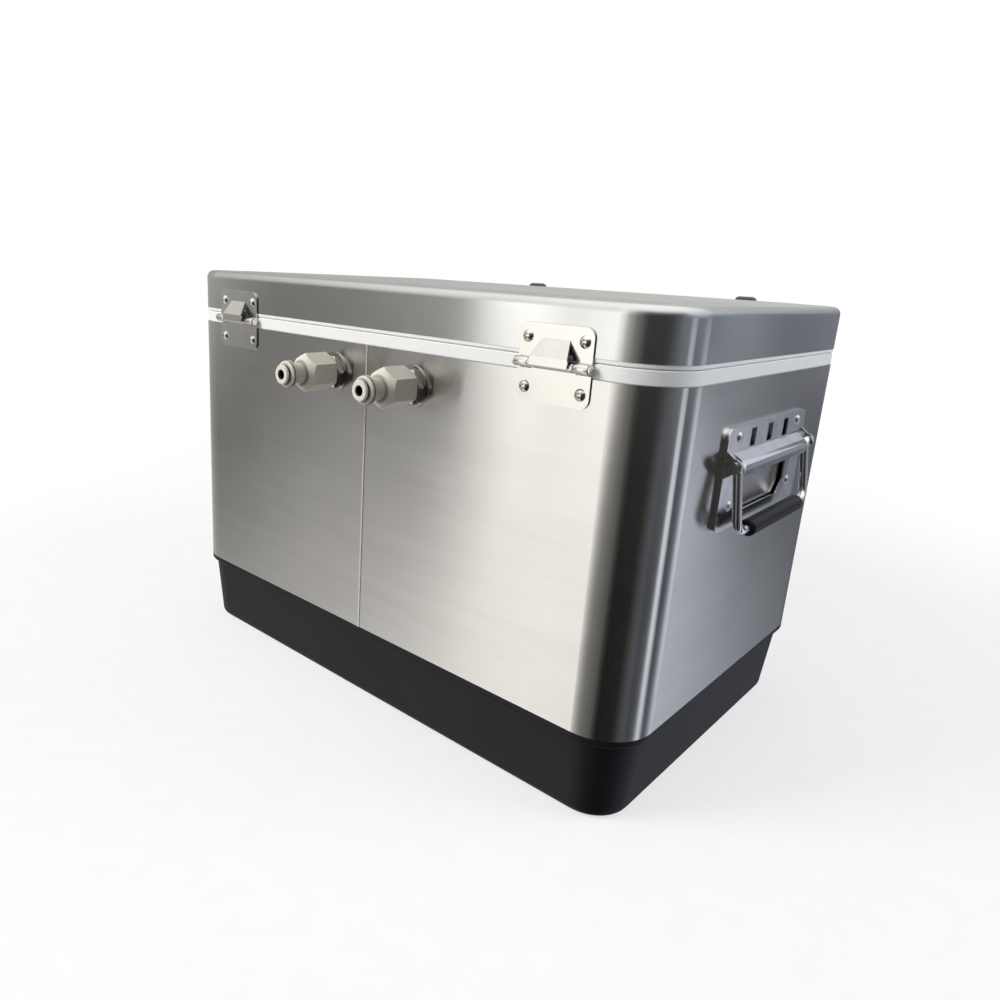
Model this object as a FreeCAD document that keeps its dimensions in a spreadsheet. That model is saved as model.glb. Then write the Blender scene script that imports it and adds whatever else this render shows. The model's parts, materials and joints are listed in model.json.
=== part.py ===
import FreeCAD, Part
import Sketcher
import math
import os

# Jockey box: an insulated, steel-jacketed cooler that chills beer on its way through two coils.
# Millimetres.  Origin on the floor under the middle of the body; +Z up, taps and latch towards -Y,
# hinges and inlets towards +Y, a carrying handle on each X end.

# ---------------------------------------------------------------- driving dimensions

# The heights of hinge, handle, keeper, latch, inlet and tap are measured from the top edge of the jacket,
# and the heights of floor and drain from the top edge of the base; below the edge they are negative.

SIZES = (
    # body
    ("case_length", 620), ("case_width", 408), ("corner_radius", 49), ("base_height", 85),
    ("wrap_height", 294), ("wrap_gauge", 0.8), ("lap_width", 36), ("lap_rise", 0.6),
    ("lip_height", 5), ("step_inset", 5.6), ("step_drop", 5.6), ("foot_inset", 12.7), ("foot_round", 8),
    ("base_wall", 3), ("tongue_height", 15), ("tongue_wall", 3.2), ("fit_gap", 0.2),
    ("wall_depth", 30), ("floor_height", -37), ("liner_wall", 3), ("cavity_radius", 38),
    ("collar_height", 12), ("collar_inset", 0.5), ("foam_gap", 0.5), ("edge_round", 1.2),
    # lid
    ("lid_gap", 0.4), ("lid_lip", 3.6), ("lid_height", 42), ("lid_round", 8), ("panel_inset", 26),
    ("panel_rise", 0.8), ("panel_radius", 32), ("panel_slope", 12), ("plug_depth", 8), ("plug_gap", 4),
    # hinges
    ("hinge_spacing", 422), ("leaf_width", 68), ("leaf_reach", 31), ("leaf_round", 8), ("leaf_gauge", 1.5),
    ("hinge_height", 7), ("pin_radius", 2.5), ("pin_standoff", 4.5), ("knuckle_radius", 4.1),
    ("middle_knuckle", 41), ("knuckle_gap", 0.4), ("running_gap", 0.05), ("pin_head", 3.4),
    ("hinge_screw_x", 52), ("hinge_screw_z", 20), ("knuckle_relief", 1), ("stop_gap", 0.5),
    ("stop_top_width", 26), ("stop_foot_width", 35), ("stop_rise", 19), ("stop_drop", 1.1),
    # screws and rivets
    ("screw_head_radius", 5), ("screw_head_height", 2.8), ("screw_radius", 2), ("screw_length", 9),
    ("recess_width", 1.1), ("recess_length", 4.6), ("recess_depth", 1.3), ("screw_gap", 0.1),
    # handles
    ("handle_height", -69), ("plate_width", 190), ("plate_top", 30), ("plate_foot", 60),
    ("plate_rise", 3.5), ("plate_gauge", 1.5), ("plate_round", 8), ("window_width", 116),
    ("window_foot", 48), ("window_chamfer", 12), ("window_top", 0), ("rivet_x", 144), ("rivet_top", 21),
    ("rivet_foot", 39), ("slot_width", 12), ("slot_top", 26), ("slot_foot", 10), ("slot_pitch", 40),
    ("cowl_width", 156), ("cowl_top", 8), ("cowl_reach", 15.5), ("cowl_foot", 10), ("cowl_curl", 4),
    ("ear_gauge", 2), ("ear_inside", 182), ("ear_radius", 6.5), ("ear_flare", 6), ("pivot_standoff", 10),
    ("bail_radius", 4), ("bail_width", 168), ("bail_drop", 57), ("bail_bend", 12), ("bail_tip", 2.5),
    ("bail_lean", 8), ("grip_length", 124), ("grip_radius", 7.5), ("grip_chamfer", 1.5),
    # latch
    ("keeper_height", -27), ("keeper_width", 32), ("keeper_reach", 14), ("keeper_roll", 4),
    ("keeper_roll_length", 22), ("latch_height", 25), ("latch_width", 46), ("latch_reach", 22),
    ("latch_standoff", 8), ("latch_knuckle", 3.6), ("latch_pin", 2), ("lever_width", 28),
    ("lever_gauge", 1.6), ("lever_length", 62), ("latch_screw_x", 32), ("latch_screw_z", 15),
    ("latch_round", 4), ("keeper_screw_x", 20.8), ("keeper_screw_z", 6), ("keeper_round", 3),
    ("hook_gap", 0.8), ("latch_side_gap", 1),
    # push-fit inlets
    ("inlet_spacing", 108), ("inlet_offset", -6), ("inlet_height", -30), ("tube_radius", 4.8),
    ("collet_radius", 9.25),
    ("collet_disc", 2.5), ("collet_stem", 7.2), ("collet_length", 18), ("collet_travel", 1.5),
    ("collet_gap", 0.1), ("inlet_reach", 66), ("port_radius", 13), ("port_length", 6),
    ("groove_depth", 1.2), ("groove_width", 1.2), ("neck_radius", 9.75), ("neck_length", 13),
    ("inlet_hex", 33), ("inlet_hex_length", 26.2), ("inlet_bevel", 6), ("seal_thickness", 2.4),
    ("shank_radius", 8.2), ("shank_bore", 3.8), ("nut_flats", 31), ("nut_height", 8),
    ("washer_radius", 18.5), ("washer_height", 1.5), ("inner_nut_flats", 27), ("inner_nut_height", 6),
    # coils and hoses
    ("coil_radius", 92), ("coil_tube", 4), ("coil_bore", 3.2), ("coil_pitch", 12), ("coil_turns", 16),
    ("coil_floor_gap", 0.3), ("riser_run", 20), ("riser_bend", 30), ("riser_height", 190),
    ("coil_exit", 20), ("hose_radius", 6), ("hose_grip", 18), ("hose_reach", 20), ("barb_length", 24),
    ("hose_gap", 0.1),
    # taps
    ("tap_spacing", 316), ("tap_offset", -6), ("tap_height", -67), ("tap_shank_radius", 11),
    ("tap_bore", 3.8),
    ("flange_radius", 20), ("flange_height", 4), ("tap_nut_flats", 32), ("tap_nut_height", 8),
    ("tap_reach", 46), ("coupling_radius", 17), ("coupling_length", 15), ("coupling_slots", 6),
    ("faucet_radius", 13), ("faucet_length", 52), ("faucet_bore", 7), ("spout_distance", 38),
    ("spout_radius", 8.5), ("spout_bead", 1.5), ("spout_collar", 14), ("spout_taper", 20),
    ("spout_tip", 6.8), ("spout_bore", 5), ("spout_drop", 66),
    ("neck_height", 22), ("tap_neck_radius", 12), ("bonnet_radius", 14.5), ("bonnet_height", 11),
    ("bonnet_bore", 10), ("pivot_rise", 20), ("lever_ball", 6.8), ("lever_stem", 4.5), ("lever_top", 46),
    ("lever_arm", 2), ("arm_tip", 2.6), ("lever_collar", 8.5), ("collar_rise", 40),
    ("handle_foot", 8), ("handle_top", 128), ("handle_waist", 9.5), ("handle_crown", 13.5),
    ("plunger_radius", 6.4), ("plunger_slot", 8.4), ("plunger_flat", 4), ("plunger_wall", 2),
    ("stem_radius", 3), ("stem_length", 12), ("valve_height", 3), ("valve_seat", 2.5), ("seat_bore", 4.4),
    ("seat_gap", 0.3), ("arm_gap", 0.6),
    # drain
    ("drain_height", -20), ("boss_radius", 14), ("boss_inset", 1), ("drain_flange", 15.5),
    ("drain_flange_height", 3), ("drain_radius", 9.5), ("drain_bore", 7), ("drain_reach", 21),
    ("drain_nut_flats", 24), ("drain_nut_height", 6), ("cap_radius", 14.5), ("cap_height", 14),
    ("cap_wall", 2.5), ("cap_flutes", 12), ("flute_radius", 2), ("thread_gap", 0.3),
    ("gasket_height", 2),
)


class Size:
    """A length held twice: as a number, and as the expression that ties it to the sheet."""

    def __init__(self, number, text):
        self.number = number
        self.text = text

    def __add__(self, other):
        other = as_size(other)
        return Size(self.number + other.number, f"({self.text} + {other.text})")

    def __radd__(self, other):
        return as_size(other) + self

    def __sub__(self, other):
        other = as_size(other)
        return Size(self.number - other.number, f"({self.text} - {other.text})")

    def __rsub__(self, other):
        return as_size(other) - self

    def __mul__(self, other):
        other = as_size(other)
        return Size(self.number * other.number, f"({self.text} * {other.text})")

    def __rmul__(self, other):
        return as_size(other) * self

    def __truediv__(self, other):
        other = as_size(other)
        return Size(self.number / other.number, f"({self.text} / {other.text})")

    def __neg__(self):
        return Size(-self.number, f"(-1 * {self.text})")


def as_size(value):
    """Wrap a plain number so that it can be added to sizes."""
    if isinstance(value, Size):
        return value
    return Size(float(value), repr(float(value)))


class Names:
    """The sheet's sizes as attributes."""


doc = FreeCAD.newDocument("JockeyBox")
sheet = doc.addObject("Spreadsheet::Sheet", "Sizes")
s = Names()
for row, (alias, value) in enumerate(SIZES, start=1):
    sheet.set(f"A{row}", alias)
    sheet.set(f"B{row}", str(value))
    sheet.setAlias(f"B{row}", alias)
    setattr(s, alias, Size(float(value), f"Sizes.{alias}"))
doc.recompute()

# ---------------------------------------------------------------- places worked out from them

wrap_top = s.base_height + s.wrap_height
collar_top = wrap_top + s.collar_height
lip_foot = collar_top + s.lid_gap
lid_foot = lip_foot + s.lid_lip
lid_top = lid_foot + s.lid_height
back_wall = s.case_width / 2
end_wall = s.case_length / 2
shank_inside = s.wall_depth + s.inner_nut_height + 2
hinge_z = wrap_top + s.hinge_height
handle_z = wrap_top + s.handle_height
keeper_z = wrap_top + s.keeper_height
latch_z = wrap_top + s.latch_height
inlet_z = wrap_top + s.inlet_height
tap_z = wrap_top + s.tap_height
drain_z = s.base_height + s.drain_height
floor_z = s.base_height + s.floor_height

# ---------------------------------------------------------------- helpers: placing and binding

Vector = FreeCAD.Vector
NODES = []

# Rotations that turn a piece modelled with +Y outwards (wall pieces) or +Z outwards (turned pieces).
WALLS = {
    "back": FreeCAD.Rotation(),
    "front": FreeCAD.Rotation(Vector(0, 0, 1), 180),
    "left": FreeCAD.Rotation(Vector(0, 0, 1), 90),
    "right": FreeCAD.Rotation(Vector(0, 0, 1), -90),
}
AXES = {
    "+Z": FreeCAD.Rotation(),
    "-Z": FreeCAD.Rotation(Vector(1, 0, 0), 180),
    "+Y": FreeCAD.Rotation(Vector(1, 0, 0), -90),
    "-Y": FreeCAD.Rotation(Vector(1, 0, 0), 90),
    "+X": FreeCAD.Rotation(Vector(0, 1, 0), 90),
    "-X": FreeCAD.Rotation(Vector(0, 1, 0), -90),
}


def bind(item, **sizes):
    """Set properties of an object and tie each to its expression."""
    for name, size in sizes.items():
        size = as_size(size)
        setattr(item, name, size.number)
        item.setExpression(name, size.text)


def place(item, x=0, y=0, z=0, turn=None):
    """Give an object its rotation and tie the coordinates of its place to their expressions."""
    spot = [as_size(value) for value in (x, y, z)]
    base = Vector(*[value.number for value in spot])
    item.Placement = FreeCAD.Placement(base, turn or FreeCAD.Rotation())
    for axis, value in zip("xyz", spot):
        item.setExpression(f"Placement.Base.{axis}", value.text)
    return item


def add(kind, name, **sizes):
    """Add an object with bound sizes."""
    item = doc.addObject(kind, name)
    item.Label = name
    bind(item, **sizes)
    return item


def node(item):
    """Mark an object as a finished sub-part."""
    NODES.append(item)
    return item


def box(name, low, high):
    """A box between two corners."""
    low = [as_size(value) for value in low]
    high = [as_size(value) for value in high]
    sides = [top - bottom for bottom, top in zip(low, high)]
    block = add("Part::Box", name, Length=sides[0], Width=sides[1], Height=sides[2])
    return place(block, *low)


def rod(name, radius, length, x=0, y=0, z=0, axis="+Z"):
    """A plain cylinder starting at a point and running along an axis."""
    return place(add("Part::Cylinder", name, Radius=radius, Height=length), x, y, z, AXES[axis])


def gather(name, items):
    """A group of separate solids."""
    group = doc.addObject("Part::Compound", name)
    group.Label = name
    group.Links = items
    return group


def fuse(name, items):
    joined = doc.addObject("Part::MultiFuse", name)
    joined.Label = name
    joined.Shapes = items
    return joined


def common(name, items):
    shared = doc.addObject("Part::MultiCommon", name)
    shared.Label = name
    shared.Shapes = items
    return shared


def cut(name, base, tools):
    """Take separate tools away from a base."""
    result = doc.addObject("Part::Cut", name)
    result.Label = name
    result.Base = base
    result.Tool = tools[0] if len(tools) == 1 else gather(name + "_tools", tools)
    return result


def copy_of(name, master, x=0, y=0, z=0, turn=None):
    """A linked copy of a piece at its own place."""
    link = doc.addObject("App::Link", name)
    link.LinkedObject = master
    return place(link, x, y, z, turn)


# ---------------------------------------------------------------- helpers: sketches and features

def new_body(name):
    body = doc.addObject("PartDesign::Body", name)
    body.Label = name
    return body


def new_sketch(body, role, height=0):
    """A sketch on one of the body's own origin planes, lifted off it by a height."""
    sketch = body.newObject("Sketcher::SketchObject", body.Name + "_sketch")
    plane = [item for item in body.Origin.OriginFeatures if item.Role == role][0]
    sketch.AttachmentSupport = [(plane, "")]
    sketch.MapMode = "FlatFace"
    height = as_size(height)
    sketch.AttachmentOffset = FreeCAD.Placement(Vector(0, 0, height.number), FreeCAD.Rotation())
    sketch.setExpression("AttachmentOffset.Base.z", height.text)
    return sketch


def measure(sketch, kind, first, second, size):
    """A signed distance between two sketch points, tied to its expression."""
    if size.number < 0:
        first, second, size = second, first, -size
    index = sketch.addConstraint(Sketcher.Constraint(kind, *first, *second, size.number))
    sketch.setExpression(f"Constraints[{index}]", size.text)


def polygon(body, points, role="XZ_Plane", height=0):
    """A closed outline whose corners are each tied to the origin."""
    sketch = new_sketch(body, role, height)
    corners = [(as_size(x), as_size(y)) for x, y in points]
    count = len(corners)
    for index in range(count):
        start = corners[index]
        end = corners[(index + 1) % count]
        edge = Part.LineSegment(Vector(start[0].number, start[1].number, 0),
                                Vector(end[0].number, end[1].number, 0))
        sketch.addGeometry(edge, False)
    for index in range(count):
        sketch.addConstraint(Sketcher.Constraint("Coincident", index, 2, (index + 1) % count, 1))
    origin = (-1, 1)
    for index, (x, y) in enumerate(corners):
        if x.number == 0:
            sketch.addConstraint(Sketcher.Constraint("PointOnObject", index, 1, -2))
        else:
            measure(sketch, "DistanceX", origin, (index, 1), x)
        if y.number == 0:
            sketch.addConstraint(Sketcher.Constraint("PointOnObject", index, 1, -1))
        else:
            measure(sketch, "DistanceY", origin, (index, 1), y)
    return sketch


def rounded_rectangle(body, length, width, radius, height=0, role="XY_Plane"):
    """A rectangle with four equal round corners, centred on the origin."""
    sketch = new_sketch(body, role, height)
    length, width, radius = as_size(length), as_size(width), as_size(radius)
    x, y, r = length.number / 2, width.number / 2, radius.number
    corners = [(x - r, r - y, 270), (x - r, y - r, 0), (r - x, y - r, 90), (r - x, r - y, 180)]
    sides = [((r - x, -y), (x - r, -y)), ((x, r - y), (x, y - r)),
             ((x - r, y), (r - x, y)), ((-x, y - r), (-x, r - y))]
    for start, end in sides:
        sketch.addGeometry(Part.LineSegment(Vector(*start, 0), Vector(*end, 0)), False)
    for cx, cy, start in corners:
        circle = Part.Circle(Vector(cx, cy, 0), Vector(0, 0, 1), r)
        arc = Part.ArcOfCircle(circle, math.radians(start), math.radians(start + 90))
        sketch.addGeometry(arc, False)
    for index in range(4):
        arc = 4 + index
        sketch.addConstraint(Sketcher.Constraint("Tangent", index, 2, arc, 1))
        sketch.addConstraint(Sketcher.Constraint("Tangent", arc, 2, (index + 1) % 4, 1))
        direction = "Horizontal" if index % 2 == 0 else "Vertical"
        sketch.addConstraint(Sketcher.Constraint(direction, index))
    for arc in (5, 6, 7):
        sketch.addConstraint(Sketcher.Constraint("Equal", 4, arc))
    bend = sketch.addConstraint(Sketcher.Constraint("Radius", 4, r))
    sketch.setExpression(f"Constraints[{bend}]", radius.text)
    sketch.addConstraint(Sketcher.Constraint("Symmetric", 7, 3, 5, 3, -1, 1))
    measure(sketch, "DistanceX", (7, 3), (5, 3), length - 2 * radius)
    measure(sketch, "DistanceY", (7, 3), (5, 3), width - 2 * radius)
    return sketch


def case_outline(body, inset, height, radius=None):
    """The plan of the case, drawn in by an inset."""
    corner = s.corner_radius - inset if radius is None else radius
    return rounded_rectangle(body, s.case_length - 2 * inset, s.case_width - 2 * inset, corner, height)


def pad(body, sketch, length, reverse=False, middle=False):
    feature = body.newObject("PartDesign::Pad", body.Name + "_pad")
    feature.Profile = sketch
    bind(feature, Length=length)
    feature.Reversed = reverse
    feature.Midplane = middle
    return feature


def pocket(body, sketch, depth):
    """Cut away what lies behind a sketch, down to a depth."""
    feature = body.newObject("PartDesign::Pocket", body.Name + "_pocket")
    feature.Profile = sketch
    bind(feature, Length=depth)
    return feature


def loft(body, low, high, take_away=False):
    """Run a straight-sided loft between two sketches."""
    kind = "PartDesign::SubtractiveLoft" if take_away else "PartDesign::AdditiveLoft"
    feature = body.newObject(kind, body.Name + "_loft")
    feature.Profile = low
    feature.Sections = [high]
    feature.Ruled = True
    return feature


def round_edges(body, radius, wanted):
    """Fillet the edges of the body's last feature that a test picks."""
    doc.recompute()
    base = body.Tip
    names = [f"Edge{i}" for i, edge in enumerate(base.Shape.Edges, start=1) if wanted(edge)]
    feature = body.newObject("PartDesign::Fillet", body.Name + "_round")
    feature.Base = (base, names)
    bind(feature, Radius=radius)
    return feature


def level_edges(height, smallest=0, largest=1e9):
    """Test for edges that lie flat at a height, within a band of distance from the Z axis plane."""
    def wanted(edge):
        bounds = edge.BoundBox
        flat = abs(bounds.ZMin - height) < 0.01 and abs(bounds.ZMax - height) < 0.01
        reach = max(abs(bounds.XMin), abs(bounds.XMax)) / end_wall.number
        reach = max(reach, max(abs(bounds.YMin), abs(bounds.YMax)) / back_wall.number)
        return flat and smallest < reach < largest
    return wanted


def turned(name, profile):
    """A body of revolution about its own Z, from (radius, height) corners."""
    body = new_body(name)
    sketch = polygon(body, profile)
    feature = body.newObject("PartDesign::Revolution", name + "_turn")
    feature.Profile = sketch
    feature.ReferenceAxis = (sketch, ["V_Axis"])
    feature.Angle = 360
    return body


def extruded(name, points, length, role="YZ_Plane", reverse=False, middle=True):
    """A prism drawn on one of the origin planes."""
    body = new_body(name)
    pad(body, polygon(body, points, role), length, reverse, middle)
    return body


def hexagon(name, flats, height):
    """A plain hexagonal bar standing on the origin, a corner on its +X side."""
    return add("Part::Prism", name, Circumradius=flats / math.sqrt(3), Height=height)


def hex_nut(name, flats, height, bore):
    """A nut chamfered at both ends, standing on the origin."""
    corner = flats / math.sqrt(3) + 0.1
    face = flats / 2 * 0.97
    chamfer = (corner - face) * 0.5
    ring = turned(name + "_ring", [(bore, 0), (face, 0), (corner, chamfer), (corner, height - chamfer),
                                   (face, height), (bore, height)])
    return common(name, [hexagon(name + "_bar", flats, height), ring])


def smooth_path(points, bends):
    """Straight runs between points, joined by tangent arcs of the given radii."""
    edges = []
    start = points[0]
    for before, corner, after, radius in zip(points, points[1:], points[2:], bends):
        entry = (corner - before).normalize()
        leave = (after - corner).normalize()
        turn = entry.getAngle(leave)
        reach = radius * math.tan(turn / 2)
        arc_start = corner - entry * reach
        arc_end = corner + leave * reach
        inward = (leave - entry).normalize()
        centre = corner + inward * (radius / math.cos(turn / 2))
        edges.append(Part.LineSegment(start, arc_start).toShape())
        edges.append(Part.Arc(arc_start, centre - inward * radius, arc_end).toShape())
        start = arc_end
    edges.append(Part.LineSegment(start, points[-1]).toShape())
    return edges


def sweep(edges, radius, direction):
    """A round bar along a chain of edges."""
    path = Part.Wire(edges)
    start = edges[0].valueAt(edges[0].FirstParameter)
    ring = Part.Wire(Part.Circle(start, direction, radius).toShape())
    return path.makePipeShell([ring], True, True)


def tube(edges, outer, inner, direction):
    """A hollow round tube along a chain of edges."""
    return sweep(edges, outer, direction).cut(sweep(edges, inner, direction))


def shaped(name, shape):
    """A sub-part whose shape is worked out directly from the sheet's numbers."""
    feature = doc.addObject("Part::Feature", name)
    feature.Label = name
    feature.Shape = shape
    return feature


# ---------------------------------------------------------------- where things pass through walls

def inlet_x(side):
    """Place along the back of the inlet on one side of the middle."""
    return s.inlet_offset + s.inlet_spacing / 2 * side


def tap_x(side):
    """Place along the front of the tap on one side of the middle."""
    return s.tap_offset + s.tap_spacing / 2 * side


def wall_drills(name, gap, depth):
    """Cylinders for everything that passes through the four walls of the body."""
    drills = []
    for side in (-1, 1):
        x = inlet_x(side)
        drills.append(rod(f"{name}_inlet_drill", s.shank_radius + gap, depth, x, back_wall + 3,
                          inlet_z, "-Y"))
        x = tap_x(side)
        drills.append(rod(f"{name}_tap_drill", s.tap_shank_radius + gap, depth, x, -back_wall - 3,
                          tap_z, "+Y"))
    return drills


def screw_spots():
    """Wall, place and direction of every screw and rivet in the body's walls."""
    spots = []
    for side in (-1, 1):
        for across in (-1, 1):
            x = s.hinge_spacing / 2 * side + s.hinge_screw_x / 2 * across
            spots.append(("hinge", x, back_wall + s.leaf_gauge, hinge_z - s.hinge_screw_z, "+Y"))
        for across in (-1, 1):
            y = s.rivet_x / 2 * across
            x = (end_wall + s.plate_rise) * side
            facing = "+X" if side > 0 else "-X"
            for z in (handle_z + s.rivet_top, handle_z - s.rivet_foot):
                spots.append(("handle", x, y, z, facing))
    for across in (-1, 1):
        x = s.keeper_screw_x / 2 * across
        spots.append(("keeper", x, -back_wall - s.leaf_gauge, keeper_z - s.keeper_screw_z, "-Y"))
    return spots


def lid_screw_spots():
    """Place and direction of every screw in the lid's walls."""
    spots = []
    for side in (-1, 1):
        for across in (-1, 1):
            x = s.hinge_spacing / 2 * side + s.hinge_screw_x / 2 * across
            spots.append(("hinge", x, back_wall + s.leaf_gauge, hinge_z + s.hinge_screw_z, "+Y"))
        x = s.latch_screw_x / 2 * side
        spots.append(("latch", x, -back_wall - s.leaf_gauge, latch_z + s.latch_screw_z, "-Y"))
    return spots


OPPOSITE = {"+Y": "-Y", "-Y": "+Y", "+X": "-X", "-X": "+X"}


def screw_drills(name, spots, gap, depth):
    """Cylinders for the shanks of screws, from just outside each head inwards."""
    return [rod(f"{name}_screw_drill", s.screw_radius + gap, depth, x, y, z, OPPOSITE[facing])
            for kind, x, y, z, facing in spots]


# ---------------------------------------------------------------- body of the cooler

def make_base_tub():
    """Moulded plastic tub: a proud lip flush with the jacket, a step, tapering sides, a hollow inside."""
    body = new_body("base_tub_shell")
    step_top = s.base_height - s.lip_height
    step_foot = step_top - s.step_drop
    tongue_inset = s.wrap_gauge + s.fit_gap
    pad(body, case_outline(body, as_size(0), step_top), s.lip_height)
    loft(body, case_outline(body, s.step_inset, step_foot), case_outline(body, as_size(0), step_top))
    loft(body, case_outline(body, s.foot_inset, 0), case_outline(body, s.step_inset, step_foot))
    round_edges(body, s.foot_round, level_edges(0))
    pad(body, case_outline(body, tongue_inset, s.base_height), s.tongue_height)
    mouth = case_outline(body, tongue_inset + s.tongue_wall, s.base_height + s.tongue_height)
    pocket(body, mouth, s.tongue_height + s.lip_height)
    loft(body, case_outline(body, s.foot_inset + s.base_wall, s.base_wall),
         case_outline(body, s.step_inset + s.base_wall, step_top), take_away=True)
    boss = rod("drain_boss", s.boss_radius, s.foot_inset + s.base_wall - s.boss_inset,
               end_wall - s.boss_inset, 0, drain_z, "-X")
    outside = fuse("base_tub_blank", [body, boss])
    bore = rod("base_drain_bore", s.drain_radius + s.fit_gap, 2 * s.wall_depth, end_wall, 0,
               drain_z, "-X")
    node(cut("base_tub", outside, [bore]))


def make_steel_wrap():
    """Sheet jacket round the body; its upper end rises to a lapped edge in the middle of the back."""
    body = new_body("steel_wrap_sheet")
    pad(body, case_outline(body, as_size(0), s.base_height), s.wrap_height)
    pocket(body, case_outline(body, s.wrap_gauge, wrap_top), s.wrap_height)
    inside = back_wall - s.wrap_gauge
    lap = extruded("steel_wrap_lap", [(0, inside), (s.lap_width, inside), (0, back_wall + s.lap_rise)],
                   s.wrap_height, role="XY_Plane", middle=False)
    place(lap, 0, 0, s.base_height)
    outside = fuse("steel_wrap_blank", [body, lap])
    drills = wall_drills("wrap", s.fit_gap, s.wrap_gauge + 6)
    drills += screw_drills("wrap", screw_spots(), s.screw_gap, s.screw_length)
    node(cut("steel_wrap", outside, drills))


def make_inner_liner():
    """Moulded liner: a tub for the ice and a collar that shows above the jacket."""
    body = new_body("inner_liner_tub")
    tub_inset = s.wall_depth - s.liner_wall
    collar = case_outline(body, s.collar_inset, wrap_top)
    pad(body, collar, s.collar_height)
    round_edges(body, s.edge_round, level_edges(collar_top.number))
    round_edges(body, s.edge_round, level_edges(wrap_top.number))
    under = case_outline(body, s.collar_inset + s.liner_wall, collar_top - s.liner_wall)
    pocket(body, under, s.collar_height)
    tub = case_outline(body, tub_inset, floor_z - s.liner_wall, s.cavity_radius + s.liner_wall)
    pad(body, tub, collar_top - floor_z + s.liner_wall)
    cavity = case_outline(body, s.wall_depth, collar_top, s.cavity_radius)
    pocket(body, cavity, collar_top - floor_z)
    drills = wall_drills("liner", s.fit_gap, 2 * s.wall_depth)
    drills.append(rod("liner_drain_bore", s.drain_radius + s.fit_gap, 2 * s.wall_depth, end_wall, 0,
                      drain_z, "-X"))
    node(cut("inner_liner", body, drills))


def make_body_foam():
    """Rigid foam that fills the space between the outside shells and the liner."""
    body = new_body("body_foam_block")
    low_inset = s.foot_inset + s.base_wall + s.foam_gap
    neck_top = s.base_height + s.tongue_height + s.foam_gap
    neck_inset = s.wrap_gauge + s.fit_gap + s.tongue_wall + s.foam_gap
    rim_top = collar_top - s.liner_wall - s.foam_gap
    pad(body, case_outline(body, low_inset, s.base_wall + s.foam_gap),
        s.base_height - s.lip_height - s.base_wall)
    pad(body, case_outline(body, neck_inset, s.base_height - s.lip_height + s.foam_gap),
        s.lip_height + s.tongue_height)
    pad(body, case_outline(body, s.wrap_gauge + s.foam_gap, neck_top), wrap_top - neck_top)
    pad(body, case_outline(body, s.collar_inset + s.liner_wall + s.foam_gap, wrap_top), rim_top - wrap_top)
    cavity = case_outline(body, s.wall_depth - s.liner_wall - s.foam_gap, rim_top,
                          s.cavity_radius + s.liner_wall + s.foam_gap)
    pocket(body, cavity, rim_top - floor_z + s.liner_wall + s.foam_gap)
    drills = wall_drills("foam", s.foam_gap, 2 * s.wall_depth)
    drills += screw_drills("foam", screw_spots(), s.foam_gap, s.screw_length + 1)
    drills.append(rod("foam_drain_bore", s.drain_radius + s.foam_gap, 2 * s.wall_depth, end_wall, 0,
                      drain_z, "-X"))
    node(cut("body_foam", body, drills))


def lid_form(name, inset, foot):
    """The outside form of the lid with its shallow raised panel, drawn in by an inset."""
    body = new_body(name)
    inset = as_size(inset)
    top = lid_top - inset
    pad(body, case_outline(body, inset, foot), top - foot)
    round_edges(body, s.lid_round - inset, level_edges(top.number))
    foot_of_slope = case_outline(body, s.panel_inset, top, s.panel_radius)
    field = case_outline(body, s.panel_inset + s.panel_slope, top + s.panel_rise,
                         s.panel_radius - s.panel_slope)
    loft(body, foot_of_slope, field)
    return body


def make_lid():
    """Pressed steel lid with a raised panel, its foam, and the liner tray with its plug."""
    shell = cut("lid_shell_pressing", lid_form("lid_outside", 0, lid_foot),
                [lid_form("lid_inside", s.wrap_gauge, lid_foot - 1)])
    node(cut("lid_shell", shell, screw_drills("lid", lid_screw_spots(), s.screw_gap, s.screw_length)))

    foam_foot = lid_foot + s.foam_gap
    foam = lid_form("lid_foam_block", s.wrap_gauge + s.foam_gap, foam_foot)
    tray_inset = s.wall_depth + s.plug_gap
    plug_foot = lip_foot - s.plug_depth
    plug_corner = s.cavity_radius - s.plug_gap
    pad(foam, case_outline(foam, tray_inset + s.liner_wall + s.foam_gap,
                           plug_foot + s.liner_wall + s.foam_gap,
                           plug_corner - s.liner_wall - s.foam_gap),
        foam_foot - plug_foot - s.liner_wall)
    node(cut("lid_foam", foam, screw_drills("lid_foam", lid_screw_spots(), s.foam_gap, s.screw_length + 1)))

    tray = new_body("lid_liner")
    pad(tray, case_outline(tray, s.collar_inset, lip_foot), s.lid_lip)
    round_edges(tray, s.edge_round, level_edges(lip_foot.number))
    pad(tray, case_outline(tray, tray_inset, plug_foot, plug_corner), s.plug_depth + s.lid_lip)
    pocket(tray, case_outline(tray, tray_inset + s.liner_wall, lid_foot, plug_corner - s.liner_wall),
           s.lid_lip + s.plug_depth - s.liner_wall)
    node(tray)


# ---------------------------------------------------------------- fasteners

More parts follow.
